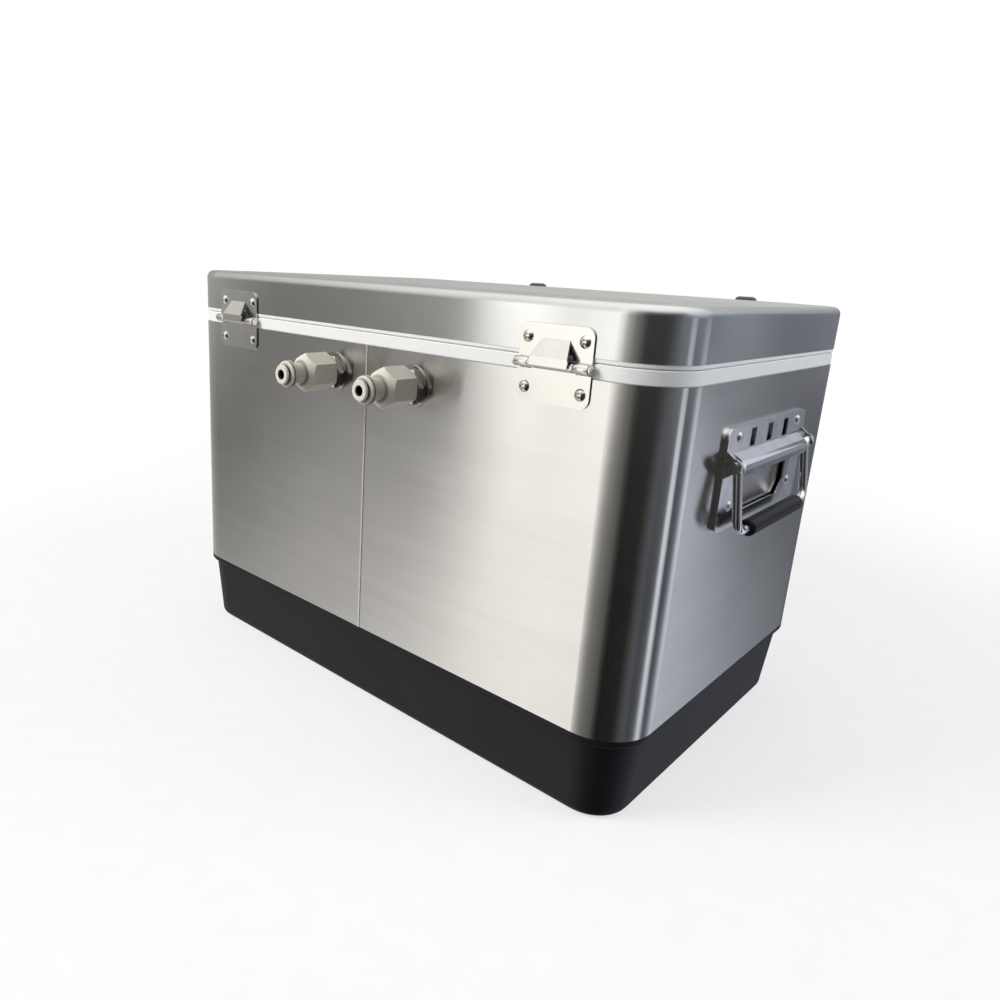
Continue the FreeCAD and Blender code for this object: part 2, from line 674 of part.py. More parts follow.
def make_fastener_masters():
    """A pan-head cross-recess screw and a plain dome rivet, head out along +Z from the origin."""
    crown = (s.screw_head_radius * s.screw_head_radius / s.screw_head_height + s.screw_head_height) / 2
    heads = {}
    for name in ("screw", "rivet"):
        ball = place(add("Part::Sphere", f"{name}_ball", Radius=crown), 0, 0, s.screw_head_height - crown)
        rim = rod(f"{name}_rim", s.screw_head_radius, s.screw_head_height)
        head = common(f"{name}_head", [ball, rim])
        shank = rod(f"{name}_shank", s.screw_radius, s.screw_length - s.screw_gap, axis="-Z")
        heads[name] = fuse(f"{name}_blank", [head, shank])
    foot = s.screw_head_height - s.recess_depth
    long, wide = s.recess_length / 2, s.recess_width / 2
    bars = [box("recess_bar_one", (-long, -wide, foot), (long, wide, s.screw_head_height)),
            box("recess_bar_two", (-wide, -long, foot), (wide, long, s.screw_head_height))]
    screw = cut("pan_screw", heads["screw"], [fuse("recess_cross", bars)])
    return screw, heads["rivet"]


def make_fasteners():
    screw, rivet = make_fastener_masters()
    groups = {"hinge_body_screws": ("hinge", screw, screw_spots()),
              "handle_rivets": ("handle", rivet, screw_spots()),
              "latch_keeper_screws": ("keeper", screw, screw_spots()),
              "hinge_lid_screws": ("hinge", screw, lid_screw_spots()),
              "latch_lid_screws": ("latch", screw, lid_screw_spots())}
    for name, (wanted, master, spots) in groups.items():
        copies = [copy_of(f"{name}_{i}", master, x, y, z, AXES[facing])
                  for i, (kind, x, y, z, facing) in enumerate(spots) if kind == wanted]
        node(gather(name, copies))


# ---------------------------------------------------------------- hinges

def knuckle(name, length, start, radius, standoff):
    return rod(name, radius, length, start, standoff, 0, "+X")


def make_hinge(name, side):
    """One strap hinge: two leaves with interleaved knuckles, and the tongue that stops the lid."""
    x = s.hinge_spacing / 2 * side
    half, middle = s.leaf_width / 2, s.middle_knuckle / 2
    relief = s.knuckle_radius + s.knuckle_relief
    screw_x = s.hinge_screw_x / 2
    bore = s.pin_radius + s.running_gap

    def screw_holes(label, z):
        return [rod(f"{label}_hole", s.screw_radius + s.screw_gap, 2 * s.leaf_gauge, screw_x * across,
                    -0.5, z, "+Y") for across in (-1, 1)]

    plate = extruded(f"{name}_body_plate",
                     [(-half, -s.leaf_reach), (half, -s.leaf_reach), (half, -relief), (middle, -relief),
                      (middle, 0), (-middle, 0), (-middle, -relief), (-half, -relief)],
                     s.leaf_gauge, "XZ_Plane", True, False)
    round_edges(plate, s.leaf_round, corner_at(s.leaf_reach.number, -1))
    barrel = knuckle(f"{name}_middle_knuckle", s.middle_knuckle, -middle, s.knuckle_radius, s.pin_standoff)
    blank = fuse(f"{name}_body_blank", [plate, barrel])
    tools = [knuckle(f"{name}_middle_bore", s.leaf_width, -half, bore, s.pin_standoff)]
    tools += screw_holes(f"{name}_body", -s.hinge_screw_z)
    place(node(cut(f"{name}_body_leaf", blank, tools)), x, back_wall, hinge_z)

    outer = middle + s.knuckle_gap
    top_half, foot_half = s.stop_top_width / 2, s.stop_foot_width / 2
    plate = extruded(f"{name}_lid_plate",
                     [(-half, s.leaf_reach), (half, s.leaf_reach), (half, 0), (outer, 0), (outer, relief),
                      (foot_half, relief), (top_half, s.stop_rise), (-top_half, s.stop_rise),
                      (-foot_half, relief), (-outer, relief), (-outer, 0), (-half, 0)],
                     s.leaf_gauge, "XZ_Plane", True, False)
    round_edges(plate, s.leaf_round, corner_at(s.leaf_reach.number, 1))
    inner_y = s.pin_standoff + s.knuckle_radius + s.stop_gap
    outer_y = inner_y + s.leaf_gauge
    profile = extruded(f"{name}_stop_strip",
                       [(0, s.stop_rise), (inner_y, relief), (inner_y, -s.stop_drop),
                        (outer_y, -s.stop_drop), (outer_y, relief + 0.6), (s.leaf_gauge, s.stop_rise + 0.9),
                        (s.leaf_gauge, s.stop_rise + 4), (0, s.stop_rise + 4)], s.stop_foot_width)
    flare = (foot_half - top_half) / (s.stop_rise - relief)
    low_half = foot_half + flare * (relief + s.stop_drop)
    high_half = top_half - flare * 4
    trapezoid = extruded(f"{name}_stop_plan",
                         [(-high_half, s.stop_rise + 4), (-low_half, -s.stop_drop),
                          (low_half, -s.stop_drop), (high_half, s.stop_rise + 4)],
                         3 * outer_y, "XZ_Plane", True, True)
    tongue = common(f"{name}_stop_tongue", [profile, trapezoid])
    length = half - outer
    ends = [knuckle(f"{name}_end_knuckle", length, start, s.knuckle_radius, s.pin_standoff)
            for start in (outer, -half)]
    blank = fuse(f"{name}_lid_blank", [plate, tongue] + ends)
    tools = [knuckle(f"{name}_end_bore", s.leaf_width + 2, -half - 1, bore, s.pin_standoff)]
    tools += screw_holes(f"{name}_lid", s.hinge_screw_z)
    place(node(cut(f"{name}_lid_leaf", blank, tools)), x, back_wall, hinge_z)


def corner_at(reach, sign):
    """Test for the short edges across the sheet at the two corners of a leaf or plate."""
    def wanted(edge):
        bounds = edge.BoundBox
        across = bounds.YLength > 0.1 and bounds.XLength < 0.01 and bounds.ZLength < 0.01
        return across and abs(bounds.ZMin - sign * reach) < 0.01
    return wanted


def make_hinge_pins():
    """Headed pins that carry the lid."""
    head = 1.2
    length = s.leaf_width + 2 * (s.knuckle_gap + head)
    master = turned("hinge_pin", [(0, 0), (s.pin_head, 0), (s.pin_head, head), (s.pin_radius, head),
                                  (s.pin_radius, length - head), (s.pin_head, length - head),
                                  (s.pin_head, length), (0, length)])
    pins = [copy_of(f"hinge_pin_{side}", master, s.hinge_spacing / 2 * side - length / 2,
                    back_wall + s.pin_standoff, hinge_z, AXES["+X"]) for side in (-1, 1)]
    node(gather("hinge_pins", pins))


# ---------------------------------------------------------------- handles

def make_handle(name, wall, side):
    """A stamped bracket with slots, a cowl and two ears, a wire bail and its grip."""
    half = s.plate_width / 2
    window = s.window_width / 2
    x = end_wall * side
    plate = new_body(f"{name}_plate")
    outline = [(-half, -s.plate_foot), (half, -s.plate_foot), (half, s.plate_top), (-half, s.plate_top)]
    pad(plate, polygon(plate, outline), s.plate_rise, reverse=True)
    round_edges(plate, s.plate_round, corner_at(s.plate_foot.number, -1))
    round_edges(plate, s.plate_round, corner_at(s.plate_top.number, 1))
    gauge = s.plate_gauge
    behind = box(f"{name}_plate_hollow", (gauge * 2 - half, -1, gauge * 2 - s.plate_foot),
                 (half - gauge * 2, s.plate_rise - gauge, s.plate_top - gauge * 2))
    chamfer_x = window - s.window_chamfer
    chamfer_z = s.window_chamfer - s.window_foot
    opening = extruded(f"{name}_window",
                       [(-chamfer_x, -s.window_foot), (chamfer_x, -s.window_foot), (window, chamfer_z),
                        (window, s.window_top), (-window, s.window_top), (-window, chamfer_z)],
                       4 * s.plate_rise, "XZ_Plane", True, True)
    slots = [box(f"{name}_slot", (s.slot_pitch * i - s.slot_width / 2, -1, s.slot_foot),
                 (s.slot_pitch * i + s.slot_width / 2, 3 * s.plate_rise, s.slot_top)) for i in (-1, 0, 1)]
    cowl = make_cowl(name)
    ears = []
    foot = s.ear_radius + s.ear_flare
    for edge in (-1, 1):
        start = s.ear_inside / 2 if edge > 0 else -s.ear_inside / 2 - s.ear_gauge
        disc = rod(f"{name}_ear_disc", s.ear_radius, s.ear_gauge, start, s.pivot_standoff, 0, "+X")
        web = extruded(f"{name}_ear_web",
                       [(s.plate_rise - gauge, foot), (s.pivot_standoff, s.ear_radius),
                        (s.pivot_standoff, -s.ear_radius), (s.plate_rise - gauge, -foot)], s.ear_gauge)
        place(web, start + s.ear_gauge / 2, 0, 0)
        ears += [disc, web]
    open_plate = cut(f"{name}_plate_open", plate, [fuse(f"{name}_plate_cuts", [opening, behind] + slots)])
    blank = fuse(f"{name}_bracket_blank", [open_plate, cowl] + ears)
    bore = rod(f"{name}_pivot_bore", s.bail_radius + s.running_gap, s.plate_width + 4, -half - 2,
               s.pivot_standoff, 0, "+X")
    holes = [rod(f"{name}_rivet_hole", s.screw_radius + s.screw_gap, 2 * s.plate_rise,
                 s.rivet_x / 2 * across, -1, z, "+Y")
             for across in (-1, 1) for z in (s.rivet_top, -s.rivet_foot)]
    tools = [bore_without_cowl(name, bore)] + holes
    bracket = node(cut(f"{name}_bracket", blank, tools))
    place(bracket, x, 0, handle_z, WALLS[wall])

    arm = s.bail_width / 2
    tip = s.ear_inside / 2 + s.ear_gauge + s.bail_tip
    y, drop, bend = s.pivot_standoff.number, s.bail_drop.number, s.bail_bend.number
    reach, far, low = arm.number, tip.number, y + s.bail_lean.number
    points = [Vector(far, y, 0), Vector(reach, y, 0), Vector(reach, low, -drop), Vector(-reach, low, -drop),
              Vector(-reach, y, 0), Vector(-far, y, 0)]
    top_bend = (s.ear_inside / 2 - arm).number
    wire = smooth_path(points, [top_bend, bend, bend, top_bend])
    bail = shaped(f"{name}_bail", sweep(wire, s.bail_radius.number, Vector(-1, 0, 0)))
    place(node(bail), x, 0, handle_z, WALLS[wall])

    grip_half = s.grip_length / 2
    hole = s.bail_radius + s.running_gap
    shoulder = s.grip_radius - s.grip_chamfer
    grip = turned(f"{name}_grip", [(hole, -grip_half), (shoulder, -grip_half),
                                   (s.grip_radius, s.grip_chamfer - grip_half),
                                   (s.grip_radius, grip_half - s.grip_chamfer), (shoulder, grip_half),
                                   (hole, grip_half)])
    outwards = (end_wall + s.pivot_standoff + s.bail_lean) * side
    place(node(grip), outwards, 0, handle_z - s.bail_drop, AXES["+Y"])


def make_cowl(name):
    """The awning pressed out of the plate over the window: a sloped roof, a curled front, closed ends."""
    gauge = s.plate_gauge
    start = s.plate_rise - gauge
    reach, curl = s.cowl_reach, s.cowl_curl
    outside = [(start, s.cowl_top + 1), (reach - curl, curl - 1), (reach - curl / 4, 0), (reach, -curl),
               (reach - curl / 2, -s.cowl_foot)]
    inside = [(reach - curl / 2 - gauge, -s.cowl_foot + gauge / 4), (reach - gauge, -curl),
              (reach - curl / 4 - gauge, -gauge / 2), (reach - curl - gauge / 2, curl - 1 - gauge),
              (start, s.cowl_top + 1 - gauge * 1.3)]
    sheet = extruded(f"{name}_cowl_sheet", outside + inside, s.cowl_width)
    ends = []
    for edge in (-1, 1):
        end = extruded(f"{name}_cowl_end", outside + [(start, -gauge)], gauge)
        ends.append(place(end, (s.cowl_width - gauge) / 2 * edge, 0, 0))
    return fuse(f"{name}_cowl", [sheet] + ends)


def bore_without_cowl(name, bore):
    """The pivot bore, kept to the two ears."""
    inside = s.ear_inside / 2 - 1
    keep = box(f"{name}_bore_keep", (-inside, 0, -s.ear_radius),
               (inside, s.pivot_standoff + s.ear_radius, s.ear_radius))
    return cut(f"{name}_ear_bores", bore, [keep])


# ---------------------------------------------------------------- latch

def make_latch():
    """A swinging lever on the lid that hooks over a roll on the body."""
    keeper_half = s.keeper_width / 2
    plate = extruded("latch_keeper_plate",
                     [(-keeper_half, -s.keeper_reach), (keeper_half, -s.keeper_reach),
                      (keeper_half, s.keeper_reach), (-keeper_half, s.keeper_reach)],
                     s.leaf_gauge, "XZ_Plane", True, False)
    round_edges(plate, s.keeper_round, corner_at(s.keeper_reach.number, -1))
    round_edges(plate, s.keeper_round, corner_at(s.keeper_reach.number, 1))
    roll = rod("latch_keeper_roll", s.keeper_roll, s.keeper_roll_length, -s.keeper_roll_length / 2,
               s.leaf_gauge, s.keeper_roll, "+X")
    front = box("latch_keeper_front", (-keeper_half, 0, 0),
                (keeper_half, s.leaf_gauge + s.keeper_roll, 2 * s.keeper_roll))
    bump = common("latch_keeper_bump", [roll, front])
    holes = [rod("latch_keeper_hole", s.screw_radius + s.screw_gap, 2 * s.leaf_gauge,
                 s.keeper_screw_x / 2 * across, -0.5, -s.keeper_screw_z, "+Y") for across in (-1, 1)]
    keeper = node(cut("latch_keeper", fuse("latch_keeper_blank", [plate, bump]), holes))
    place(keeper, 0, -back_wall, keeper_z, WALLS["front"])

    half, lever_half = s.latch_width / 2, s.lever_width / 2
    foot = s.latch_knuckle + s.knuckle_relief
    cheek = lever_half + s.latch_side_gap
    plate = extruded("latch_bracket_plate",
                     [(-half, s.latch_reach), (-half, 0), (-cheek, 0), (-cheek, foot),
                      (cheek, foot), (cheek, 0), (half, 0), (half, s.latch_reach)],
                     s.leaf_gauge, "XZ_Plane", True, False)
    round_edges(plate, s.latch_round, corner_at(s.latch_reach.number, 1))
    sides = []
    for edge in (-1, 1):
        start = cheek if edge > 0 else -half
        sides.append(rod("latch_bracket_knuckle", s.latch_knuckle, half - cheek, start,
                         s.latch_standoff, 0, "+X"))
        sides.append(box("latch_bracket_web", (start, 0, -s.latch_knuckle),
                         (start + half - cheek, s.latch_standoff, s.latch_knuckle)))
    bore = rod("latch_bracket_bore", s.latch_pin + s.running_gap, s.latch_width + 2, -half - 1,
               s.latch_standoff, 0, "+X")
    holes = [rod("latch_bracket_hole", s.screw_radius + s.screw_gap, 2 * s.leaf_gauge,
                 s.latch_screw_x / 2 * across, -0.5, s.latch_screw_z, "+Y") for across in (-1, 1)]
    bracket = node(cut("latch_bracket", fuse("latch_bracket_blank", [plate] + sides), [bore] + holes))
    place(bracket, 0, -back_wall, latch_z, WALLS["front"])

    y = s.latch_standoff
    gauge = s.lever_gauge
    hook = latch_z - keeper_z
    hook_top = -hook - s.hook_gap
    strip = extruded("latch_lever_strip",
                     [(y - gauge / 2, 0), (y - gauge / 2, hook_top), (s.leaf_gauge + 1.6, hook_top),
                      (s.leaf_gauge + 1.6, hook_top - gauge), (y + gauge / 2, hook_top - gauge),
                      (y + gauge + 6, -s.lever_length), (y + gauge + 7.6, 1 - s.lever_length),
                      (y + gauge / 2 + 1, hook_top), (y + gauge / 2, hook_top + 4), (y + gauge / 2, 0)],
                     s.lever_width)
    eye = rod("latch_lever_eye", s.latch_knuckle - 0.4, s.lever_width, -lever_half, y, 0, "+X")
    bore = rod("latch_lever_bore", s.latch_pin + s.running_gap, s.lever_width + 2, -lever_half - 1,
               y, 0, "+X")
    notch = box("latch_lever_notch", (-s.keeper_roll_length / 2 - 1, 0, hook_top),
                (s.keeper_roll_length / 2 + 1, y - gauge / 2, hook_top + 1))
    lever = node(cut("latch_lever", fuse("latch_lever_blank", [strip, eye]), [bore, notch]))
    place(lever, 0, -back_wall, latch_z, WALLS["front"])

    pin = node(rod("latch_pin", s.latch_pin, s.latch_width + 2, -half - 1,
                   -back_wall - s.latch_standoff, latch_z, "+X"))
    return pin


# ---------------------------------------------------------------- push-fit inlets

def make_inlets():
    """Two bulkhead inlets on the back: shank, nuts and washer, push-fit body, seal and collet."""
    port_face = s.inlet_reach - s.collet_disc - s.collet_travel - 0.5
    port_foot = port_face - s.port_length
    neck_foot = port_foot - s.neck_length
    bevel_foot = neck_foot - s.inlet_bevel
    hex_end = bevel_foot - s.inlet_hex_length
    corner = s.inlet_hex / math.sqrt(3) + 0.1
    seat = s.collet_stem + s.collet_gap
    socket = s.collet_length - s.collet_disc + 0.5
    seat_foot = port_face - socket
    seal_foot = seat_foot - s.seal_thickness - 0.2
    stop = seal_foot - 12
    thread = s.shank_radius + s.running_gap
    groove = port_foot + s.port_length / 2
    flare = s.inlet_hex / 2 * 0.98
    for number, side in ((1, -1), (2, 1)):
        name = f"inlet_{number}"
        x = inlet_x(side)
        skin = turned(f"{name}_skin",
                      [(thread, hex_end), (flare, hex_end), (corner, hex_end + 1.5), (corner, bevel_foot),
                       (s.neck_radius + 3, neck_foot), (s.neck_radius, neck_foot),
                       (s.neck_radius, port_foot), (s.port_radius - 1, port_foot),
                       (s.port_radius, port_foot + 1), (s.port_radius, groove - s.groove_width / 2),
                       (s.port_radius - s.groove_depth, groove - s.groove_width / 2),
                       (s.port_radius - s.groove_depth, groove + s.groove_width / 2),
                       (s.port_radius - 0.6, groove + s.groove_width / 2),
                       (s.port_radius - 0.6, port_face - 1), (s.port_radius - 1.8, port_face),
                       (seat, port_face), (seat, seal_foot), (s.tube_radius + 0.1, seal_foot),
                       (s.tube_radius + 0.1, stop), (s.shank_bore, stop), (s.shank_bore, hex_end + 12),
                       (thread, hex_end + 12)])
        bar = hexagon(f"{name}_hex", s.inlet_hex, s.inlet_reach)
        spin = AXES["+Y"].multiply(FreeCAD.Rotation(Vector(0, 0, 1), 90))
        fitting = node(common(f"{name}_fitting", [skin, bar]))
        place(fitting, x, back_wall, inlet_z, spin)
        rim = s.inlet_reach - s.collet_disc
        collet = turned(f"{name}_collet",
                        [(s.tube_radius, s.inlet_reach), (s.tube_radius, s.inlet_reach - s.collet_length),
                         (s.collet_stem, s.inlet_reach - s.collet_length), (s.collet_stem, rim),
                         (s.collet_radius, rim), (s.collet_radius, s.inlet_reach - 0.7),
                         (s.collet_radius - 0.7, s.inlet_reach)])
        place(node(collet), x, back_wall, inlet_z, AXES["+Y"])

    seal = turned("inlet_seal", [(s.tube_radius + 0.05, 0), (s.collet_stem, 0),
                                 (s.collet_stem, s.seal_thickness),
                                 (s.tube_radius + 0.05, s.seal_thickness)])
    shank_end = hex_end + 11.5
    barb_foot = -shank_inside
    barb_end = barb_foot - s.barb_length
    barb = s.coil_tube
    shank = turned("inlet_shank", [(s.shank_bore - 0.8, barb_end), (barb, barb_end), (barb, barb_foot),
                                   (s.shank_radius, barb_foot), (s.shank_radius, shank_end),
                                   (s.shank_bore - 0.8, shank_end)])
    nut = hex_nut("inlet_nut", s.nut_flats, s.nut_height, s.shank_radius + s.running_gap)
    washer = turned("inlet_washer", [(s.shank_radius + s.running_gap, 0), (s.washer_radius, 0),
                                     (s.washer_radius, s.washer_height),
                                     (s.shank_radius + s.running_gap, s.washer_height)])
    inner = hex_nut("inlet_inner_nut", s.inner_nut_flats, s.inner_nut_height, s.shank_radius + s.running_gap)
    groups = {"inlet_seals": (seal, seal_foot + 0.1), "inlet_shanks": (shank, 0),
              "inlet_outer_nuts": (nut, s.washer_height), "inlet_washers": (washer, 0),
              "inlet_inner_nuts": (inner, -s.wall_depth - s.inner_nut_height)}
    for name, (master, height) in groups.items():
        copies = [copy_of(f"{name}_{side}", master, inlet_x(side), back_wall + height,
                          inlet_z, AXES["+Y"]) for side in (-1, 1)]
        node(gather(name, copies))


# ---------------------------------------------------------------- coils and hoses

def make_coils_and_hoses():
    """Two hand-mirrored cooling coils, a hose from each inlet and a hose to each tap."""
    for number, side in ((2, 1), (1, -1)):
        shapes = coil_and_hoses((inlet_x(side) * side).number, (tap_x(side) * side).number)
        for name, shape in zip((f"coil_{number}", f"inlet_hose_{number}", f"tap_hose_{number}"), shapes):
            own = shape if side > 0 else shape.mirror(Vector(0, 0, 0), Vector(1, 0, 0))
            node(shaped(name, own))


def coil_and_hoses(start_x, end_x):
    """A coil and its two hoses for the +X side, from an inlet's distance to a tap's distance along X."""
    radius, pitch = s.coil_radius.number, s.coil_pitch.number
    turns = s.coil_turns.number
    start_z = floor_z.number + s.coil_floor_gap.number + s.coil_tube.number + 0.5
    rise = turns * pitch
    slope = pitch / (2 * math.pi * radius)
    helix = Part.makeHelix(pitch, rise, radius)
    helix.Placement = FreeCAD.Placement(Vector(start_x + radius, 0, start_z),
                                        FreeCAD.Rotation(Vector(0, 0, 1), 180))
    low = Vector(start_x, 0, start_z)
    back = Vector(0, 1, -slope).normalize()
    knee = low + back * (s.riser_run.number + s.riser_bend.number)
    riser_top = Vector(knee.x, knee.y, s.riser_height.number)
    tail = smooth_path([riser_top, knee, low], [s.riser_bend.number])
    high = Vector(start_x, 0, start_z + rise)
    exit_end = high - back * s.coil_exit.number
    leave = [Part.LineSegment(high, exit_end).toShape()]
    path = tail + helix.Edges + leave
    coil = tube(path, s.coil_tube.number, s.coil_bore.number, Vector(0, 0, -1))

    grip = s.hose_grip.number
    wall = s.case_width.number / 2
    barb_y = wall - shank_inside.number
    inner, outer = s.coil_tube.number + s.hose_gap.number, s.hose_radius.number
    first = Vector(riser_top.x, riser_top.y, riser_top.z - grip)
    corner = Vector(first.x, first.y, inlet_z.number)
    last = Vector(first.x, barb_y, inlet_z.number)
    bend = 0.45 * min((corner - first).Length, (last - corner).Length)
    inlet_hose = tube(smooth_path([first, corner, last], [bend]), outer, inner, Vector(0, 0, 1))

    begin = exit_end + back * grip
    knee_one = high - back * (s.coil_exit.number + 1.5 * s.hose_reach.number)
    reach = s.hose_reach.number
    knee_two = Vector(end_x, -barb_y + s.barb_length.number + reach + 1, tap_z.number)
    finish = Vector(end_x, -barb_y, tap_z.number)
    points = [begin, knee_one, knee_two, finish]
    bends = [reach / math.tan((here - before).getAngle(after - here) / 2)
             for before, here, after in zip(points, points[1:], points[2:])]
    tap_hose = tube(smooth_path(points, bends), outer, inner, (knee_one - begin).normalize())
    return coil, inlet_hose, tap_hose


# ---------------------------------------------------------------- taps

def make_taps():
    """Two faucets on the front, each with a tilting lever that draws a plunger off its seat."""
    shank = turned("tap_shank", [(s.tap_bore - 0.8, -shank_inside - s.barb_length),
                                 (s.coil_tube, -shank_inside - s.barb_length), (s.coil_tube, -shank_inside),
                                 (s.tap_shank_radius, -shank_inside), (s.tap_shank_radius, s.tap_reach),
                                 (s.tap_bore - 0.8, s.tap_reach)])
    thread = s.tap_shank_radius + s.running_gap
    flange = turned("tap_flange", [(thread, 0), (s.flange_radius, 0), (s.flange_radius, 1.5),
                                   (s.flange_radius - 4, s.flange_height), (thread, s.flange_height)])
    inner = hex_nut("tap_inner_nut", s.tap_nut_flats, s.tap_nut_height, thread)
    groups = {"tap_shanks": (shank, 0), "tap_flanges": (flange, 0),
              "tap_inner_nuts": (inner, -s.wall_depth - s.tap_nut_height)}
    for name, (master, height) in groups.items():
        copies = [copy_of(f"{name}_{side}", master, tap_x(side), -back_wall - height,
                          tap_z, AXES["-Y"]) for side in (-1, 1)]
        node(gather(name, copies))

    nut_foot = s.tap_reach - s.coupling_length + 2
    ring = turned("tap_coupling_ring", [(thread, nut_foot), (s.coupling_radius - 2, nut_foot),
                                        (s.coupling_radius, nut_foot + 3),
                                        (s.coupling_radius, nut_foot + s.coupling_length - 1),
                                        (s.coupling_radius - 1, nut_foot + s.coupling_length),
                                        (s.faucet_radius + s.seat_gap, nut_foot + s.coupling_length),
                                        (s.faucet_radius + s.seat_gap, s.tap_reach - s.seat_gap),
                                        (thread, s.tap_reach - s.seat_gap)])
    slots = []
    for index in range(int(s.coupling_slots.number)):
        angle = 2 * math.pi * index / s.coupling_slots.number
        slots.append(rod("tap_coupling_slot", 2.4, s.coupling_length - 5,
                         s.coupling_radius * math.cos(angle), s.coupling_radius * math.sin(angle),
                         nut_foot + 5, "+Z"))
    coupling = cut("tap_coupling_nut", ring, slots)
    copies = [copy_of(f"tap_coupling_{side}", coupling, tap_x(side), -back_wall,
                      tap_z, AXES["-Y"]) for side in (-1, 1)]
    node(gather("tap_coupling_nuts", copies))

    for number, side in ((1, -1), (2, 1)):
        make_faucet(f"tap_{number}", tap_x(side))


def make_faucet(name, x):
    """Faucet body, bonnet, lever, handle and plunger, drawn with +Y outwards from the wall."""
    face = s.tap_reach + s.running_gap
    end = face + s.faucet_length
    spout_y = face + s.spout_distance
    barrel = rod(f"{name}_barrel", s.faucet_radius, s.faucet_length, 0, face, 0, "+Y")
    plug = rod(f"{name}_nose", s.faucet_radius - 3, 3, 0, end, 0, "+Y")
    neck = rod(f"{name}_neck", s.tap_neck_radius, s.neck_height, 0, spout_y, 0, "+Z")
    bead = s.spout_radius + s.spout_bead
    spout = turned(f"{name}_spout", [(0, 0), (bead, 0), (bead, -s.spout_collar),
                                     (s.spout_radius, -s.spout_taper), (s.spout_tip, -s.spout_drop),
                                     (0, -s.spout_drop)])
    place(spout, 0, spout_y, 0)
    solid = fuse(f"{name}_casting", [barrel, plug, neck, spout])
    block = s.plunger_slot / 2 + s.plunger_wall
    seat_back = spout_y - block - s.stem_length + s.seat_gap
    seat_front = seat_back + s.valve_seat
    tools = [rod(f"{name}_rear_bore", s.faucet_bore, seat_back - face + 1, 0, face - 1, 0, "+Y"),
             rod(f"{name}_seat_bore", s.seat_bore, s.valve_seat + 2, 0, seat_back - 1, 0, "+Y"),
             rod(f"{name}_front_bore", s.faucet_bore, end - 3 - seat_front, 0, seat_front, 0, "+Y"),
             rod(f"{name}_neck_bore", s.lever_ball + s.seat_gap, s.neck_height + 1, 0, spout_y, 0, "+Z"),
             rod(f"{name}_spout_bore", s.spout_bore, s.spout_drop + 1, 0, spout_y, 0, "-Z")]
    tool = fuse(f"{name}_passages", tools)
    place(node(cut(f"{name}_body", solid, [tool])), x, -back_wall, tap_z, WALLS["front"])

    thread = s.tap_neck_radius + s.running_gap
    top = s.bonnet_height
    bonnet = turned(f"{name}_bonnet", [(thread, 0), (s.bonnet_radius, 0), (s.bonnet_radius, top - 2),
                                       (s.bonnet_radius - 2, top), (s.bonnet_bore, top),
                                       (s.bonnet_bore, top - 1.5), (thread, top - 1.5)])
    bonnet_foot = s.neck_height - top + 2
    place(node(bonnet), x, -back_wall - spout_y, tap_z + bonnet_foot)

    ball = place(add("Part::Sphere", f"{name}_ball", Radius=s.lever_ball), 0, 0, s.pivot_rise)
    arm = rod(f"{name}_arm", s.lever_arm, s.pivot_rise, 0, 0, 0, "+Z")
    tip = add("Part::Sphere", f"{name}_arm_tip", Radius=s.arm_tip)
    stem = rod(f"{name}_stem", s.lever_stem, s.lever_top - s.pivot_rise, 0, 0, s.pivot_rise, "+Z")
    collar = turned(f"{name}_stem_collar", [(0, s.collar_rise), (s.lever_stem + 1, s.collar_rise),
                                            (s.lever_collar, s.collar_rise + 3),
                                            (s.lever_collar, s.lever_top), (0, s.lever_top)])
    post = rod(f"{name}_post", s.lever_stem - 0.8, 12, 0, 0, s.lever_top - 0.1, "+Z")
    lever = node(fuse(f"{name}_lever", [ball, arm, tip, stem, collar, post]))
    place(lever, x, -back_wall - spout_y, tap_z)

    foot, crown = s.lever_top, s.handle_top
    hole = s.lever_stem - 0.8 + s.running_gap
    profile = [(hole, foot), (s.handle_foot, foot), (s.handle_waist, foot + 10),
               (s.handle_crown, crown - 12), (s.handle_crown, crown - 5), (s.handle_crown - 2, crown - 1.5),
               (s.handle_crown - 5, crown), (0, crown), (0, foot + 12.5), (hole, foot + 12.5)]
    place(node(turned(f"{name}_handle", profile)), x, -back_wall - spout_y, tap_z)

    valve_front = -block - s.stem_length
    valve = turned(f"{name}_plunger_bar", [(0, valve_front - s.valve_height),
                                           (s.plunger_radius, valve_front - s.valve_height),
                                           (s.plunger_radius, valve_front), (s.stem_radius, valve_front),
                                           (s.stem_radius, -block), (s.plunger_radius, -block),
                                           (s.plunger_radius, block), (0, block)])
    slot_side = s.arm_tip + s.arm_gap
    top = s.plunger_radius + 1
    slot = box(f"{name}_plunger_slot", (-slot_side, -slot_side, -s.plunger_slot / 2),
               (slot_side, top, s.plunger_slot / 2))
    flat = box(f"{name}_plunger_flat", (-top, s.plunger_flat, -block - 1), (top, top, block + 1))
    plunger = node(cut(f"{name}_plunger", valve, [fuse(f"{name}_plunger_cuts", [slot, flat])]))
    place(plunger, x, -back_wall - spout_y, tap_z, AXES["-Y"])


# ---------------------------------------------------------------- drain

